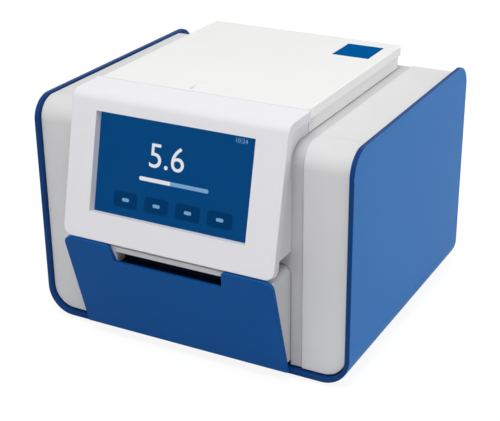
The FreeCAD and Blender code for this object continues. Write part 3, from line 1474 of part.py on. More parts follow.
def fan():
    front = f"({PANEL_BACK} - fan_depth)"
    half = "fan_size / 2"
    frame = body("fan_frame")
    square = rectangle(f"fan_x - {half}", f"fan_x + {half}", f"{FAN_Z} - {half}", f"{FAN_Z} + {half}")
    duct = dict(x="fan_x", y=FAN_Z, radius="fan_bore")
    pad(frame, sketch(frame, "XZ_Plane", square, duct, level=f"-{front}"), "fan_depth", back=True)
    motor = dict(x="fan_x", y=FAN_Z, radius="fan_hub")
    pad(frame, sketch(frame, "XZ_Plane", motor, level=f"-({PANEL_BACK} - 3)"), "3", back=True)
    for width, rise in (("fan_bore", "1.5"), ("1.5", "fan_bore")):
        bar = rectangle(f"fan_x - {width} - 0.5", f"fan_x + {width} + 0.5",
                        f"{FAN_Z} - {rise} - 0.5", f"{FAN_Z} + {rise} + 0.5")
        pad(frame, sketch(frame, "XZ_Plane", bar, level=f"-({PANEL_BACK} - 3)"), "3", back=True)
    pin = dict(x="fan_x", y=FAN_Z, radius="1.5")
    pad(frame, sketch(frame, "XZ_Plane", pin, level=f"-({front} + 4)"), "fan_depth - 5", back=True)
    piece(frame, "fan_frame")

    rotor = body("fan_rotor")
    hub = dict(x="0", y="0", radius="fan_hub")
    depth = "(fan_depth - 6)"
    pad(rotor, sketch(rotor, "XZ_Plane", hub), depth, back=True)
    vane = [("1", "-6"), ("2.8", "-6"), (f"{depth} - 1", "4.5"), (f"{depth} - 2.8", "4.5")]
    start = "(fan_hub - 1)"
    reach = f"(fan_bore - blade_gap - 0.6 - {start})"
    blade = pad(rotor, sketch(rotor, "YZ_Plane", vane, level=start), reach)
    repeat(rotor, "Polar", "Y_Axis", [blade], FAN_BLADES)
    bore = dict(x="0", y="0", radius="1.5 + spindle_clearance")
    pocket(rotor, sketch(rotor, "XZ_Plane", bore, level="1"), f"{depth} + 2")
    move(rotor, "fan_x", f"{front} + 1.5", FAN_Z)
    piece(rotor, "fan_rotor")


def connections():
    inlet = body("mains_inlet")
    flange = rectangle("inlet_x - 17", "inlet_x + 17", "inlet_z - 13", "inlet_z + 13")
    pad(inlet, sketch(inlet, "XZ_Plane", flange, level=f"-{PANEL_FACE}"), "2.5", back=True)
    block = rectangle("inlet_x - 14", "inlet_x + 14", "inlet_z - 10", "inlet_z + 10")
    pad(inlet, sketch(inlet, "XZ_Plane", block, level=f"-({PANEL_FACE} + 0.5)"), "20")
    mouth = [
        ("inlet_x - 12", "inlet_z - 8"),
        ("inlet_x + 12", "inlet_z - 8"),
        ("inlet_x + 12", "inlet_z + 4"),
        ("inlet_x + 8", "inlet_z + 8"),
        ("inlet_x - 8", "inlet_z + 8"),
        ("inlet_x - 12", "inlet_z + 4"),
    ]
    pocket(inlet, sketch(inlet, "XZ_Plane", mouth, level=f"-({PANEL_FACE} + 2.5)"), "16", back=True)
    blades = [
        rectangle(f"inlet_x + {x} - 1", f"inlet_x + {x} + 1", f"inlet_z + {z} - 2", f"inlet_z + {z} + 2")
        for x, z in ((-7, -3), (0, 1), (7, -3))
    ]
    pad(inlet, sketch(inlet, "XZ_Plane", *blades, level=f"-({PANEL_FACE} - 14)"), "13", back=True)
    piece(inlet, "mains_inlet")

    bezel = box(f"{SWITCH_X} - 11.5", f"{SWITCH_X} + 11.5", PANEL_FACE, f"{PANEL_FACE} + 2",
                "inlet_z - 14.5", "inlet_z + 14.5")
    well = box(f"{SWITCH_X} - 9.5", f"{SWITCH_X} + 9.5", f"{PANEL_FACE} - 14", f"{PANEL_FACE} + 1",
               "inlet_z - 12.5", "inlet_z + 12.5")
    room = box(f"{SWITCH_X} - 8", f"{SWITCH_X} + 8", f"{PANEL_FACE} - 12", f"{PANEL_FACE} + 3",
               "inlet_z - 11", "inlet_z + 11")
    axle = cylinder(f"{SWITCH_X} - 9", f"{PANEL_FACE} - 4", "inlet_z", "1.2", "18", along="x")
    piece(fuse(cut(fuse(bezel, well), room), axle), "switch_frame")

    rocker = body("power_rocker")
    lip = "(3.6 + rocker_half * tan(rocker_dish))"
    outline = [
        ("-4", "0.5 - rocker_half"),
        (lip, "-rocker_half"),
        ("3.6", "0"),
        (lip, "rocker_half"),
        ("-4", "rocker_half - 0.5"),
    ]
    pad(rocker, sketch(rocker, "YZ_Plane", outline), "15.4", both=True)
    hole = dict(x="0", y="0", radius="1.2 + spindle_clearance")
    pocket(rocker, sketch(rocker, "YZ_Plane", hole), both=True)
    rocker.Placement = Placement(Vector(), Rotation(Vector(1, 0, 0), -value("rocker_travel") / 2))
    bind(rocker, "Placement.Rotation.Angle", "-rocker_travel / 2")
    move(rocker, SWITCH_X, f"{PANEL_FACE} - 4", "inlet_z")
    piece(rocker, "power_rocker")

    face = box("ports_x - 30", "ports_x + 30", f"{PANEL_FACE} - 16", f"{PANEL_FACE} + 0.5",
               "ports_z - 8", "ports_z + 8")
    jack = box("ports_x - 26", "ports_x - 14", f"{PANEL_FACE} - 13", f"{PANEL_FACE} + 1",
               "ports_z - 5", "ports_z + 5")
    serial = box("ports_x - 8", "ports_x + 4", f"{PANEL_FACE} - 9", f"{PANEL_FACE} + 1",
                 "ports_z - 2.5", "ports_z + 2.5")
    other = box("ports_x + 11", "ports_x + 25", f"{PANEL_FACE} - 9", f"{PANEL_FACE} + 1",
                "ports_z - 2.7", "ports_z + 2.7")
    piece(cut(face, jack, serial, other), "data_ports")


def build():
    outer_shell()
    rubber_feet()
    mirrored(lambda name, side: fairing(name, side, True), "pillar")
    mirrored(lambda name, side: fairing(name, side, False), "side_cover")
    core_housing()
    head_bezel()
    head_housing()
    display()
    lid_panel()
    lid_hinge()
    drawer_front()
    drawer_backing()
    drawer_tray()
    sample_rack()
    rails()
    chassis_tray()
    mirrored(chassis_side, "chassis_side")
    deck_shroud()
    deck_plate()
    rotor_bearing()
    rotor_spindle()
    rotor_hub()
    reaction_rotor()
    rotor_drive()
    incubator_ring()
    photometer()
    pipettor()
    well("wash_well", "wash_angle", "wash_depth")
    well("sample_cup", "port_angle", "cup_depth")
    reagents()
    main_board()
    power_supply()
    rear_panel()
    rear_screws()
    fan()
    connections()
    document.recompute()


def check():
    for thing in document.Objects:
        for word in ("Invalid", "Error"):
            if word in thing.State:
                raise ValueError(f"{thing.Name} ({thing.Label}): {thing.State}")
    for thing in pieces:
        shape = thing.Shape
        if shape.isNull() or not shape.isValid() or not shape.Solids:
            raise ValueError(f"{thing.Label}: no valid solid")


def export():
    os.makedirs("parts", exist_ok=True)
    for thing in pieces:
        thing.Shape.exportStep(f"parts/{thing.Label}.step")
    print(len(pieces), "pieces")


build()
check()
export()
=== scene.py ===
import json
import math

import bmesh
import bpy
from mathutils import Matrix, Vector

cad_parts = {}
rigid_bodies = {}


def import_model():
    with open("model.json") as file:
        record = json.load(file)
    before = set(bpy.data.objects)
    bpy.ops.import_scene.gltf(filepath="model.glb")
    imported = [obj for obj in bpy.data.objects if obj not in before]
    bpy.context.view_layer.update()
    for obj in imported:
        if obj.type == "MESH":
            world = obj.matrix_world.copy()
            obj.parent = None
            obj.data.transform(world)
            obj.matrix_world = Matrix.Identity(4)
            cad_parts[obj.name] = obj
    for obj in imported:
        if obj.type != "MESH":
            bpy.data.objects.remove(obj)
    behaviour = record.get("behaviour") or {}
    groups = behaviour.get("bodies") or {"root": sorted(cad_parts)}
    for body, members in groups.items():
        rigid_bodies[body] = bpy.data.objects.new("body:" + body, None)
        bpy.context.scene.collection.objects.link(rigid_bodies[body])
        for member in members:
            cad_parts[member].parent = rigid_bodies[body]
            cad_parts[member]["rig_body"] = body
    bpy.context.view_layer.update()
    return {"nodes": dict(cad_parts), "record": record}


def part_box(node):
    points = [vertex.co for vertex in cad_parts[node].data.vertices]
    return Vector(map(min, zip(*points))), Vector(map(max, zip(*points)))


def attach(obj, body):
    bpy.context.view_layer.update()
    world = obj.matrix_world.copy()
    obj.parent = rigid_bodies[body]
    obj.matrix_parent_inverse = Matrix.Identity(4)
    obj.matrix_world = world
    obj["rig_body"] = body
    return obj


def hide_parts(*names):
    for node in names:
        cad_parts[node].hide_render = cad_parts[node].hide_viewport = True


# Finishes, rounded edges and small details of the benchtop analyzer.
# Lengths are metres in the analyzer's own frame: X right, Y back, Z up from the table.

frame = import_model()

MM = 0.001
IMAGE_WIDTH = 500
FOCAL_PIXELS = 1207.3
SENSOR_WIDTH = 36.0
CAMERA_PLACE = Vector((0.4967, -0.9264, 0.5636))
CAMERA_YAW = math.radians(28.17)
CAMERA_PITCH = math.radians(24.11)
CAMERA_ROLL = math.radians(-0.55)

# The leaning display, measured from the bezel's lower front edge
BEZEL_TILT = math.radians(13.3)
BEZEL_FOOT = Vector((0.0, -0.1545, 0.1119))
WINDOW_LEFT = -0.07815
WINDOW_WIDTH = 0.1533
WINDOW_FOOT = 0.0251
WINDOW_RISE = 0.0882
IMAGE_DEPTH = 0.00977

# What the display shows, from the lower left corner of its image
LAYER_GAP = 0.01 * MM
BUTTON_COUNT = 4
BUTTON_START = 0.018
BUTTON_PITCH = 0.031
BUTTON_FOOT = 0.007
BUTTON_SIZE = (0.024, 0.014, 0.003)
MARK_INSET = (0.0085, 0.0055)
MARK_SIZE = (0.007, 0.003, 0.0012)
SCALE_PLACE = (0.042, 0.034)
SCALE_SIZE = (0.068, 0.0035, 0.0015)
LEVEL_SIZE = (0.031, 0.0035, 0.0015)

# The plain label in its seat on the lid
LABEL_MIDDLE = (0.0715, 0.0851)
LABEL_SIZE = Vector((0.0363, 0.0387, 0.0003))
LABEL_RECESS = 0.0004
LABEL_LIFT = 0.00002
LABEL_CORNER = 0.6 * MM

# Zones of the casing that are cut or coloured apart, with a little room round each; some of these
# colours are painted light and shade
SEAM = 4 * MM
LID_SKIRT = 5 * MM
SCOOP_SIDES = (-14.5 * MM, 17.5 * MM)
SCOOP_RUN = (4.6 * MM, 21.2 * MM)
SEAT_SIDES = (52.2 * MM, 90.8 * MM)
SEAT_RUN = (64.6 * MM, 105.6 * MM)
WINDOW_HALF = 85 * MM
WINDOW_DEPTHS = (-0.160, -0.11)
HEAD_SIDE = 95 * MM
GRIP_HALF = 57 * MM
PLATE_FRONT = -0.145
PLATE_CUT = 87.6 * MM
PLATE_LOW = 80 * MM
RECESS_HALF = 53 * MM
RECESS_HEIGHTS = (90.5 * MM, 108 * MM)
RECESS_FRONT = -0.152
WRAP_MIDDLE = 0.11

# Light
LAMP_TARGET = (0, 0, 0.12)
LAMPS = {
    "key": dict(place=(0.28, -0.85, 2.13), size=1.2, energy=29.0),
    "rim": dict(place=(1.65, 1.25, 0.6), size=1.0, energy=13.4),
}
AMBIENT = 0.41
BACKDROP = 1.0
FLOOR_HALF = 4.0
FLOOR_TONE = 0.80
FLOOR_GLOW = 1.12
FLOOR_GLOW_SHARE = 0.8

node_slots = {row["node"]: row["material_slot"] for row in frame["record"]["subparts"]}


# Materials

def linear(colour):
    """A colour written as 0-255 display values, as linear values."""
    parts = [channel / 255 for channel in colour]
    return [p / 12.92 if p <= 0.04045 else ((p + 0.055) / 1.055) ** 2.4 for p in parts]


def new_material(name):
    made = bpy.data.materials.new(name)
    made.use_nodes = True
    return made, made.node_tree.nodes, made.node_tree.links


def noise(nodes, links, size, detail=2.0, stretch=(1, 1, 1)):
    """Noise in the object's own coordinates, with features of about the given size."""
    place = nodes.new("ShaderNodeTexCoord")
    mapping = nodes.new("ShaderNodeMapping")
    mapping.inputs["Scale"].default_value = stretch
    texture = nodes.new("ShaderNodeTexNoise")
    texture.inputs["Scale"].default_value = 1 / size
    texture.inputs["Detail"].default_value = detail
    links.new(place.outputs["Object"], mapping.inputs["Vector"])
    links.new(mapping.outputs["Vector"], texture.inputs["Vector"])
    return texture.outputs["Fac"]


def vary(nodes, links, fac, low, high):
    spread = nodes.new("ShaderNodeMapRange")
    spread.inputs["From Min"].default_value = 0.3
    spread.inputs["From Max"].default_value = 0.7
    spread.inputs["To Min"].default_value = low
    spread.inputs["To Max"].default_value = high
    links.new(fac, spread.inputs["Value"])
    return spread.outputs["Result"]


def blend_colours(nodes, links, fac, low, high):
    mix = nodes.new("ShaderNodeMix")
    mix.data_type = "RGBA"
    mix.inputs["A"].default_value = (*low, 1)
    mix.inputs["B"].default_value = (*high, 1)
    links.new(fac, mix.inputs["Factor"])
    return mix.outputs["Result"]


def bump(nodes, links, shader, fac, depth):
    relief = nodes.new("ShaderNodeBump")
    relief.inputs["Strength"].default_value = 1.0
    relief.inputs["Distance"].default_value = depth
    links.new(fac, relief.inputs["Height"])
    links.new(relief.outputs["Normal"], shader.inputs["Normal"])


def surface(name, colour, rough, grain=0.6 * MM, depth=0.012 * MM, tint=0.03, metal=0.0,
            gloss=0.5, stretch=(1, 1, 1), coat=0.0):
    """A moulded, painted or metal surface: fine grain, and a slow change of tone and gloss."""
    made, nodes, links = new_material(name)
    shader = nodes["Principled BSDF"]
    shader.inputs["Metallic"].default_value = metal
    shader.inputs["Specular IOR Level"].default_value = gloss
    shader.inputs["Coat Weight"].default_value = coat
    shader.inputs["Coat Roughness"].default_value = 0.15
    base = linear(colour)
    low = [channel * (1 - tint) for channel in base]
    high = [min(1.0, channel * (1 + tint)) for channel in base]
    clouds = noise(nodes, links, 60 * MM)
    links.new(blend_colours(nodes, links, clouds, low, high), shader.inputs["Base Color"])
    grains = noise(nodes, links, grain, 3.0, stretch)
    links.new(vary(nodes, links, grains, rough - 0.04, rough + 0.04), shader.inputs["Roughness"])
    bump(nodes, links, shader, grains, depth)
    return made


def clear(name, colour, rough=0.02, index=1.46, reflect=0.5):
    """Glass or clear plastic."""
    made, nodes, links = new_material(name)
    shader = nodes["Principled BSDF"]
    shader.inputs["Transmission Weight"].default_value = 1.0
    shader.inputs["IOR"].default_value = index
    shader.inputs["Specular IOR Level"].default_value = reflect
    base = linear(colour)
    smears = noise(nodes, links, 25 * MM)
    deeper = [channel * 0.97 for channel in base]
    links.new(blend_colours(nodes, links, smears, base, deeper), shader.inputs["Base Color"])
    links.new(vary(nodes, links, smears, rough, rough + 0.02), shader.inputs["Roughness"])
    return made


def lit(name, colour, strength=1.0):
    """A lit part of the display's image, with the faint unevenness of a backlight."""
    made, nodes, links = new_material(name)
    shader = nodes["Principled BSDF"]
    shader.inputs["Base Color"].default_value = (0, 0, 0, 1)
    shader.inputs["Roughness"].default_value = 0.5
    shader.inputs["Specular IOR Level"].default_value = 0.0
    shader.inputs["Emission Strength"].default_value = strength
    base = linear(colour)
    dimmer = [channel * 0.94 for channel in base]
    glow = noise(nodes, links, 80 * MM, 0.0)
    links.new(blend_colours(nodes, links, glow, base, dimmer), shader.inputs["Emission Color"])
    return made


def circuit_board(name):
    """Green solder mask with copper tracks showing through."""
    made, nodes, links = new_material(name)
    shader = nodes["Principled BSDF"]
    place = nodes.new("ShaderNodeTexCoord")
    tracks = nodes.new("ShaderNodeTexBrick")
    tracks.inputs["Scale"].default_value = 90.0
    tracks.inputs["Mortar Size"].default_value = 0.03
    tracks.inputs["Color1"].default_value = (*linear((18, 84, 52)), 1)
    tracks.inputs["Color2"].default_value = (*linear((22, 96, 60)), 1)
    tracks.inputs["Mortar"].default_value = (*linear((48, 132, 78)), 1)
    turn = nodes.new("ShaderNodeMapping")
    turn.inputs["Rotation"].default_value = (math.radians(90), 0, math.radians(90))
    links.new(place.outputs["Object"], turn.inputs["Vector"])
    links.new(turn.outputs["Vector"], tracks.inputs["Vector"])
    links.new(tracks.outputs["Color"], shader.inputs["Base Color"])
    shader.inputs["Roughness"].default_value = 0.35
    bump(nodes, links, shader, tracks.outputs["Fac"], 0.05 * MM)
    return made


BRUSHED = dict(metal=1.0, grain=0.5 * MM, stretch=(1, 14, 1), depth=0.004 * MM, tint=0.05)
SATIN = dict(depth=0.006 * MM, tint=0.01, gloss=0.2)

materials = {
    # case_blue is set lighter than the drawer's blue, as painted light for the wrap's lit sides; its
    # front edges and insides get a darker copy as painted shade
    "case_blue": surface("case_blue", (20, 108, 180), 0.40, depth=0.008 * MM, gloss=0.14),
    "drawer_blue": surface("drawer_blue", (16, 84, 154), 0.50, depth=0.008 * MM, gloss=0.06),
    "fairing_grey": surface("fairing_grey", (220, 220, 221), 0.50, gloss=0.2),
    "core_grey": surface("core_grey", (200, 200, 201), 0.50, gloss=0.2),
    "head_white": surface("head_white", (233, 232, 236), 0.42, **SATIN),
    "lid_white": surface("lid_white", (237, 237, 236), 0.42, **SATIN),
    "screen_glass": clear("screen_glass", (250, 252, 255), index=1.04),
    "screen_panel": lit("screen_panel", (8, 69, 123)),
    "zinc_steel": surface("zinc_steel", (188, 190, 192), 0.34, grain=3 * MM, metal=1.0, tint=0.08),
    "bright_steel": surface("bright_steel", (205, 206, 208), 0.22, **BRUSHED),
    "bearing_brass": surface("bearing_brass", (204, 170, 100), 0.25, **BRUSHED),
    "gear_nylon": surface("gear_nylon", (228, 224, 208), 0.45),
    "motor_black": surface("motor_black", (34, 34, 38), 0.35, coat=0.2),
    "tray_grey": surface("tray_grey", (208, 209, 212), 0.45),
    "rack_white": surface("rack_white", (224, 226, 228), 0.40),
    "deck_steel": surface("deck_steel", (182, 186, 191), 0.40, grain=0.9 * MM),
    "hub_grey": surface("hub_grey", (96, 101, 108), 0.40),
    "deck_grey": surface("deck_grey", (206, 208, 212), 0.48),
    "rotor_clear": clear("rotor_clear", (232, 240, 246), rough=0.12, index=1.49),
    "heater_aluminium": surface("heater_aluminium", (196, 198, 202), 0.32, **BRUSHED),
    "optic_black": surface("optic_black", (26, 26, 28), 0.55),
    "lens_glass": clear("lens_glass", (226, 238, 255)),
    "arm_white": surface("arm_white", (232, 232, 232), 0.30, coat=0.3),
    "bottle_amber": surface("bottle_amber", (236, 237, 236), 0.30),
    "cap_blue": surface("cap_blue", (30, 100, 180), 0.38),
    "board_green": circuit_board("board_green"),
    "panel_grey": surface("panel_grey", (196, 198, 202), 0.42, grain=0.9 * MM, depth=0.02 * MM),
    "fan_black": surface("fan_black", (28, 28, 30), 0.45),
    "socket_black": surface("socket_black", (30, 30, 33), 0.40),
    "rocker_black": surface("rocker_black", (33, 33, 36), 0.25, coat=0.4),
    "foot_rubber": surface("foot_rubber", (36, 36, 36), 0.75, grain=1.2 * MM, depth=0.03 * MM),
}
# A lighter grey, painted light on the strip of the plate that shows through the drawer's notch
painted_light_grey = surface("painted_light_grey", (214, 214, 216), 0.42, **SATIN)
# A darker copy of the head's white, painted shade on the head's sides
painted_shade_white = surface("painted_shade_white", (219, 218, 222), 0.42, **SATIN)
label_blue = surface("label_blue", (2, 86, 152), 0.45, grain=1.5 * MM, depth=0.002 * MM, gloss=0.0)
# A darker copy of the wrap's blue, painted shade on its front edges and inner faces
painted_shade_blue = surface("painted_shade_blue", (12, 60, 120), 0.45, depth=0.008 * MM, gloss=0.1)
# Dark navy, painted shade inside the finger recess
painted_shade_navy = surface("painted_shade_navy", (16, 34, 62), 0.5, gloss=0.1)
screen_white = lit("screen_white", (226, 228, 232))
screen_pale = lit("screen_pale", (118, 164, 204))
screen_deep = lit("screen_deep", (6, 54, 100))

for node, thing in frame["nodes"].items():
    thing.data.materials.clear()
    thing.data.materials.append(materials[node_slots[node]])


# Pieces that replace a CAD node with the same shape and rounded edges

def keep(thing, body):
    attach(thing, body)
    return thing


def clean_copy(node):
    """The node's mesh with its facets joined into whole faces."""
    work = bmesh.new()
    work.from_mesh(frame["nodes"][node].data)
    bmesh.ops.remove_doubles(work, verts=work.verts, dist=0.002 * MM)
    bmesh.ops.dissolve_limit(work, angle_limit=math.radians(0.3), verts=work.verts, edges=work.edges)
    return work


def sharp(edge, angle=math.radians(28)):
    return len(edge.link_faces) == 2 and edge.calc_face_angle(0.0) > angle


def rounded(node, width, rule=None, segments=3):
    """Replaces a node by its own shape with rounded edges; rule gives an edge's share of width."""
    work = clean_copy(node)
    for place, normal in CUTS.get(node, ()):
        everything = work.verts[:] + work.edges[:] + work.faces[:]
        bmesh.ops.bisect_plane(work, geom=everything, dist=0.005 * MM, plane_co=place, plane_no=normal)
    weights = work.edges.layers.float.new("bevel_weight_edge")
    for edge in work.edges:
        if sharp(edge):
            middle = (edge.verts[0].co + edge.verts[1].co) / 2
            edge[weights] = 1.0 if rule is None else rule(middle, edge)
    mesh = bpy.data.meshes.new(f"{node}_finished")
    work.to_mesh(mesh)
    work.free()
    thing = bpy.data.objects.new(f"{node}_finished", mesh)
    bpy.context.scene.collection.objects.link(thing)
    mesh.materials.append(materials[node_slots[node]])
    for face in mesh.polygons:
        face.use_smooth = True
    mesh.set_sharp_from_angle(angle=math.radians(40))
    bevel = thing.modifiers.new("edges", "BEVEL")
    bevel.limit_method = "WEIGHT"
    bevel.width = width
    bevel.segments = segments
    bevel.use_clamp_overlap = False
    bevel.loop_slide = False
    bevel.miter_outer = "MITER_ARC"
    normals = thing.modifiers.new("normals", "WEIGHTED_NORMAL")
    normals.keep_sharp = True
    keep(thing, frame["nodes"][node]["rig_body"])
    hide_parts(node)
    return thing


def lid_rule(middle, edge):
    """Rounds the lid's outer edges; the seam, the scoop and the label's seat stay crisp."""
    if middle.z < lid_top - LID_SKIRT or middle.y < lid_front + SEAM:
        return 0.0
    if SCOOP_SIDES[0] < middle.x < SCOOP_SIDES[1] and middle.y < lid_front + SCOOP_RUN[1]:
        return 0.0
    if SEAT_SIDES[0] < middle.x < SEAT_SIDES[1] and SEAT_RUN[0] < middle.y < SEAT_RUN[1]:
        return 0.0
    return 1.0


def bezel_rule(middle, edge):
    """Rounds the outside; the seam behind the strip stays crisp and the window gets thin edges."""
    if middle.y > strip_back - SEAM:
        return 0.0
    near_window = abs(middle.x) < WINDOW_HALF and WINDOW_DEPTHS[0] < middle.y < WINDOW_DEPTHS[1]
    if near_window and middle.z > BEZEL_FOOT.z + 2 * MM:
        return 0.25
    return 1.0


def split_x(place):
    return (place, 0, 0), (1, 0, 0)


def split_y(place):
    return (0, place, 0), (0, 1, 0)


def split_z(place):
    return (0, 0, place), (0, 0, 1)


def split_rise(rise):
    """A cut across the leaning bezel at a distance from its foot."""
    up = Vector((0, math.sin(BEZEL_TILT), math.cos(BEZEL_TILT)))
    return BEZEL_FOOT + up * rise, up


lid_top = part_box("lid_panel")[1].z
lid_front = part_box("lid_panel")[0].y
strip_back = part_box("head_bezel")[1].y
CUTS = {
    "lid_panel": [
        *(split_x(place) for place in SCOOP_SIDES + SEAT_SIDES),
        *(split_y(lid_front + run) for run in (SEAM, *SCOOP_RUN)),
        *(split_y(place) for place in SEAT_RUN),
    ],
    "head_bezel": [
        split_y(strip_back - SEAM),
        split_x(WINDOW_LEFT - MM), split_x(WINDOW_LEFT + WINDOW_WIDTH + MM),
        split_rise(WINDOW_FOOT - MM), split_rise(WINDOW_FOOT + WINDOW_RISE + MM),
    ],
    "drawer_backing": [split_x(-GRIP_HALF), split_x(GRIP_HALF), split_z(PLATE_CUT)],
}
RULES = {"lid_panel": lid_rule, "head_bezel": bezel_rule}
ROUNDED = {
    "outer_shell": 0.8 * MM,
    "pillar_left": 0.7 * MM,
    "pillar_right": 0.7 * MM,
    "side_cover_left": 0.6 * MM,
    "side_cover_right": 0.6 * MM,
    "core_housing": 0.6 * MM,
    "head_housing": 0.8 * MM,
    "head_bezel": 0.9 * MM,
    "lid_panel": 0.9 * MM,
    "drawer_front": 0.9 * MM,
    "drawer_backing": 0.5 * MM,
    "drawer_tray": 0.6 * MM,
    "sample_rack": 0.6 * MM,
    "deck_shroud": 0.4 * MM,
    "rubber_feet": 1.0 * MM,
    "reagent_bottles": 1.2 * MM,
    "bottle_caps": 0.4 * MM,
    "pipette_arm": 1.2 * MM,
    "rotor_hub": 0.8 * MM,
    "mains_inlet": 0.4 * MM,
    "switch_frame": 0.4 * MM,
    "power_rocker": 0.4 * MM,
    "rotor_motor": 0.5 * MM,
    "photometer_block": 0.5 * MM,
    "fan_frame": 0.4 * MM,
}
finished = {node: rounded(node, width, RULES.get(node)) for node, width in ROUNDED.items()}


def repaint(node, material, chosen):
    """Gives one more material to the faces of a finished piece that pass the test."""
    mesh = finished[node].data
    mesh.materials.append(material)
    for face in mesh.polygons:
        if chosen(face.center, face.normal):
            face.material_index = len(mesh.materials) - 1


def wrap_edge(centre, normal):
    """The wrap's cut edges and its inner faces, as against its outer skin; they take painted shade."""
    outward = normal.x * centre.x + normal.z * (centre.z - WRAP_MIDDLE) > 0
    return abs(normal.y) > 0.5 or normal.z > 0.5 or not outward


def finger_recess(centre, normal):
    """The inside of the finger recess, without its light left end; it takes painted shade."""
    inside = abs(centre.x) < RECESS_HALF and RECESS_HEIGHTS[0] < centre.z < RECESS_HEIGHTS[1]
    return inside and centre.y > RECESS_FRONT and normal.x < 0.9


def behind_notch(centre, normal):
    """The part of the plate's front face that shows through the drawer's notch; it takes painted
    light.
    """
    in_front = normal.y < -0.8 and centre.y < PLATE_FRONT
    return in_front and abs(centre.x) < GRIP_HALF and centre.z > PLATE_LOW


def side_face(centre, normal):
    """The sides of the head, as against its front and top; they take painted shade."""
    return abs(normal.x) > 0.9 and abs(centre.x) > HEAD_SIDE


# Painted shade: a darker blue on the wrap's cut edges and inner faces
repaint("outer_shell", painted_shade_blue, wrap_edge)
# Painted shade: dark navy inside the finger recess
repaint("drawer_backing", painted_shade_navy, finger_recess)
# Painted light: a lighter grey on the plate behind the notch
repaint("drawer_backing", painted_light_grey, behind_notch)
# Painted shade: a darker white on the sides of the head housing and bezel
repaint("head_housing", painted_shade_white, side_face)
repaint("head_bezel", painted_shade_white, side_face)


# What the display shows: a plain readout, drawn as thin shapes on the panel behind the glass

def on_display(across, up, depth=IMAGE_DEPTH):
    """A point of the display's image, from its lower left corner."""
    rise = WINDOW_FOOT + up
    return BEZEL_FOOT + Vector((
        WINDOW_LEFT + across,
        rise * math.sin(BEZEL_TILT) + depth * math.cos(BEZEL_TILT),
        rise * math.cos(BEZEL_TILT) - depth * math.sin(BEZEL_TILT),
    ))


def outline_round(left, foot, width, height, radius, steps=6):
    """Points of a rectangle with rounded corners."""
    points = []
    corners = (
        (left + width - radius, foot + radius, -90),
        (left + width - radius, foot + height - radius, 0),
        (left + radius, foot + height - radius, 90),
        (left + radius, foot + radius, 180),
    )
    for x, y, start in corners:
        for step in range(steps + 1):
            angle = math.radians(start + 90 * step / steps)
            points.append((x + radius * math.cos(angle), y + radius * math.sin(angle)))
    return points


def flat_piece(name, shapes, material, layer=0):
    """Thin flat shapes on the display, one layer in front of another."""
    depth = IMAGE_DEPTH - layer * LAYER_GAP
    work = bmesh.new()
    for points in shapes:
        corners = [work.verts.new(on_display(x, y, depth)) for x, y in points]
        work.faces.new(corners)
    mesh = bpy.data.meshes.new(name)
    work.to_mesh(mesh)
    work.free()
    mesh.materials.append(material)
    thing = bpy.data.objects.new(name, mesh)
    bpy.context.scene.collection.objects.link(thing)
    return keep(thing, "case")


def digits(name, text, size, across, up, material):
    """Plain numbers on the display."""
    curve = bpy.data.curves.new(name, "FONT")
    curve.body = text
    curve.size = size
    writing = bpy.data.objects.new(name, curve)
    bpy.context.scene.collection.objects.link(writing)
    bpy.context.view_layer.update()
    shape = writing.evaluated_get(bpy.context.evaluated_depsgraph_get())
    mesh = bpy.data.meshes.new_from_object(shape)
    bpy.data.objects.remove(writing)
    for vertex in mesh.vertices:
        vertex.co = on_display(across + vertex.co.x, up + vertex.co.y, IMAGE_DEPTH - 2 * LAYER_GAP)
    mesh.materials.clear()
    mesh.materials.append(material)
    thing = bpy.data.objects.new(name, mesh)
    bpy.context.scene.collection.objects.link(thing)
    return keep(thing, "case")


def display_image():
    starts = [BUTTON_START + BUTTON_PITCH * step for step in range(BUTTON_COUNT)]
    buttons = [outline_round(start, BUTTON_FOOT, *BUTTON_SIZE) for start in starts]
    flat_piece("screen_buttons", buttons, screen_deep, 1)
    marks = [
        outline_round(start + MARK_INSET[0], BUTTON_FOOT + MARK_INSET[1], *MARK_SIZE)
        for start in starts
    ]
    flat_piece("screen_marks", marks, screen_pale, 2)
    flat_piece("screen_scale", [outline_round(*SCALE_PLACE, *SCALE_SIZE)], screen_pale, 1)
    flat_piece("screen_level", [outline_round(*SCALE_PLACE, *LEVEL_SIZE)], screen_white, 2)
    digits("screen_number", "5.6", 0.030, 0.049, 0.047, screen_white)
    digits("screen_clock", "10:24", 0.0055, 0.130, 0.081, screen_pale)


display_image()


# Plain label on the lid

def lid_label():
    work = bmesh.new()
    bmesh.ops.create_cube(work, size=1.0)
    place = Vector((*LABEL_MIDDLE, lid_top - LABEL_RECESS + LABEL_SIZE.z / 2 + LABEL_LIFT))
    bmesh.ops.scale(work, vec=LABEL_SIZE, verts=work.verts)
    bmesh.ops.translate(work, vec=place, verts=work.verts)
    upright = [e for e in work.edges if abs(e.verts[0].co.z - e.verts[1].co.z) > LABEL_SIZE.z / 2]
    bmesh.ops.bevel(work, geom=upright, offset=LABEL_CORNER, segments=4, affect="EDGES")
    mesh = bpy.data.meshes.new("lid_label")
    work.to_mesh(mesh)
    work.free()
    mesh.materials.append(label_blue)
    thing = bpy.data.objects.new("lid_label", mesh)
    bpy.context.scene.collection.objects.link(thing)
    return keep(thing, "lid")


lid_label()


# Floor, background, light and camera

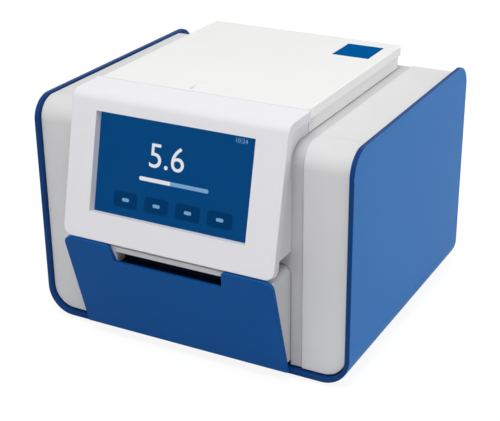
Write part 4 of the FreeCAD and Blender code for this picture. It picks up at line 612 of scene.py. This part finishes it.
def floor():
    """A pale floor that keeps the object's shadow and otherwise reads as the white background."""
    half = FLOOR_HALF
    mesh = bpy.data.meshes.new("floor")
    corners = [(-half, -half, 0), (half, -half, 0), (half, half, 0), (-half, half, 0)]
    mesh.from_pydata(corners, [], [(0, 1, 2, 3)])
    thing = bpy.data.objects.new("floor", mesh)
    bpy.context.scene.collection.objects.link(thing)
    made, nodes, links = new_material("floor_pale")
    shader = nodes["Principled BSDF"]
    shader.inputs["Base Color"].default_value = (FLOOR_TONE, FLOOR_TONE, FLOOR_TONE, 1)
    shader.inputs["Roughness"].default_value = 0.9
    shader.inputs["Specular IOR Level"].default_value = 0.0
    path = nodes.new("ShaderNodeLightPath")
    shine = nodes.new("ShaderNodeEmission")
    shine.inputs["Strength"].default_value = FLOOR_GLOW
    weight = nodes.new("ShaderNodeMath")
    weight.operation = "MULTIPLY"
    weight.inputs[1].default_value = FLOOR_GLOW_SHARE
    mix = nodes.new("ShaderNodeMixShader")
    links.new(path.outputs["Is Camera Ray"], weight.inputs[0])
    links.new(weight.outputs["Value"], mix.inputs["Fac"])
    links.new(shader.outputs["BSDF"], mix.inputs[1])
    links.new(shine.outputs["Emission"], mix.inputs[2])
    links.new(mix.outputs["Shader"], nodes["Material Output"].inputs["Surface"])
    mesh.materials.append(made)


def world():
    """White to the camera and in reflections, and dimmer as a light."""
    made = bpy.data.worlds.new("studio")
    bpy.context.scene.world = made
    made.use_nodes = True
    nodes, links = made.node_tree.nodes, made.node_tree.links
    path = nodes.new("ShaderNodeLightPath")
    seen = nodes.new("ShaderNodeMath")
    seen.operation = "MAXIMUM"
    also = nodes.new("ShaderNodeMath")
    also.operation = "MAXIMUM"
    strength = nodes.new("ShaderNodeMapRange")
    strength.inputs["To Min"].default_value = AMBIENT
    strength.inputs["To Max"].default_value = BACKDROP
    links.new(path.outputs["Is Camera Ray"], seen.inputs[0])
    links.new(path.outputs["Is Glossy Ray"], seen.inputs[1])
    links.new(seen.outputs["Value"], also.inputs[0])
    links.new(path.outputs["Is Transmission Ray"], also.inputs[1])
    links.new(also.outputs["Value"], strength.inputs["Value"])
    links.new(strength.outputs["Result"], nodes["Background"].inputs["Strength"])
    nodes["Background"].inputs["Color"].default_value = (1, 1, 1, 1)


def lamp(name, place, size, energy):
    light = bpy.data.lights.new(name, "AREA")
    light.shape = "DISK"
    light.size = size
    light.energy = energy
    thing = bpy.data.objects.new(name, light)
    thing.location = place
    thing.rotation_euler = (Vector(LAMP_TARGET) - Vector(place)).to_track_quat("-Z", "Y").to_euler()
    bpy.context.scene.collection.objects.link(thing)


def camera():
    yaw, pitch, roll = CAMERA_YAW, CAMERA_PITCH, CAMERA_ROLL
    back = Vector((math.sin(yaw) * math.cos(pitch), -math.cos(yaw) * math.cos(pitch), math.sin(pitch)))
    right = Vector((0, 0, 1)).cross(back).normalized()
    up = back.cross(right)
    across = right * math.cos(roll) + up * math.sin(roll)
    upward = up * math.cos(roll) - right * math.sin(roll)
    data = bpy.data.cameras.new("camera")
    data.sensor_width = SENSOR_WIDTH
    data.lens = FOCAL_PIXELS / IMAGE_WIDTH * SENSOR_WIDTH
    thing = bpy.data.objects.new("camera", data)
    turn = Matrix((across, upward, back)).transposed().to_4x4()
    thing.matrix_world = Matrix.Translation(CAMERA_PLACE) @ turn
    bpy.context.scene.collection.objects.link(thing)
    bpy.context.scene.camera = thing


floor()
world()
for name, setting in LAMPS.items():
    lamp(name, **setting)
camera()
bpy.context.scene.view_settings.view_transform = "Standard"

bpy.context.view_layer.update()
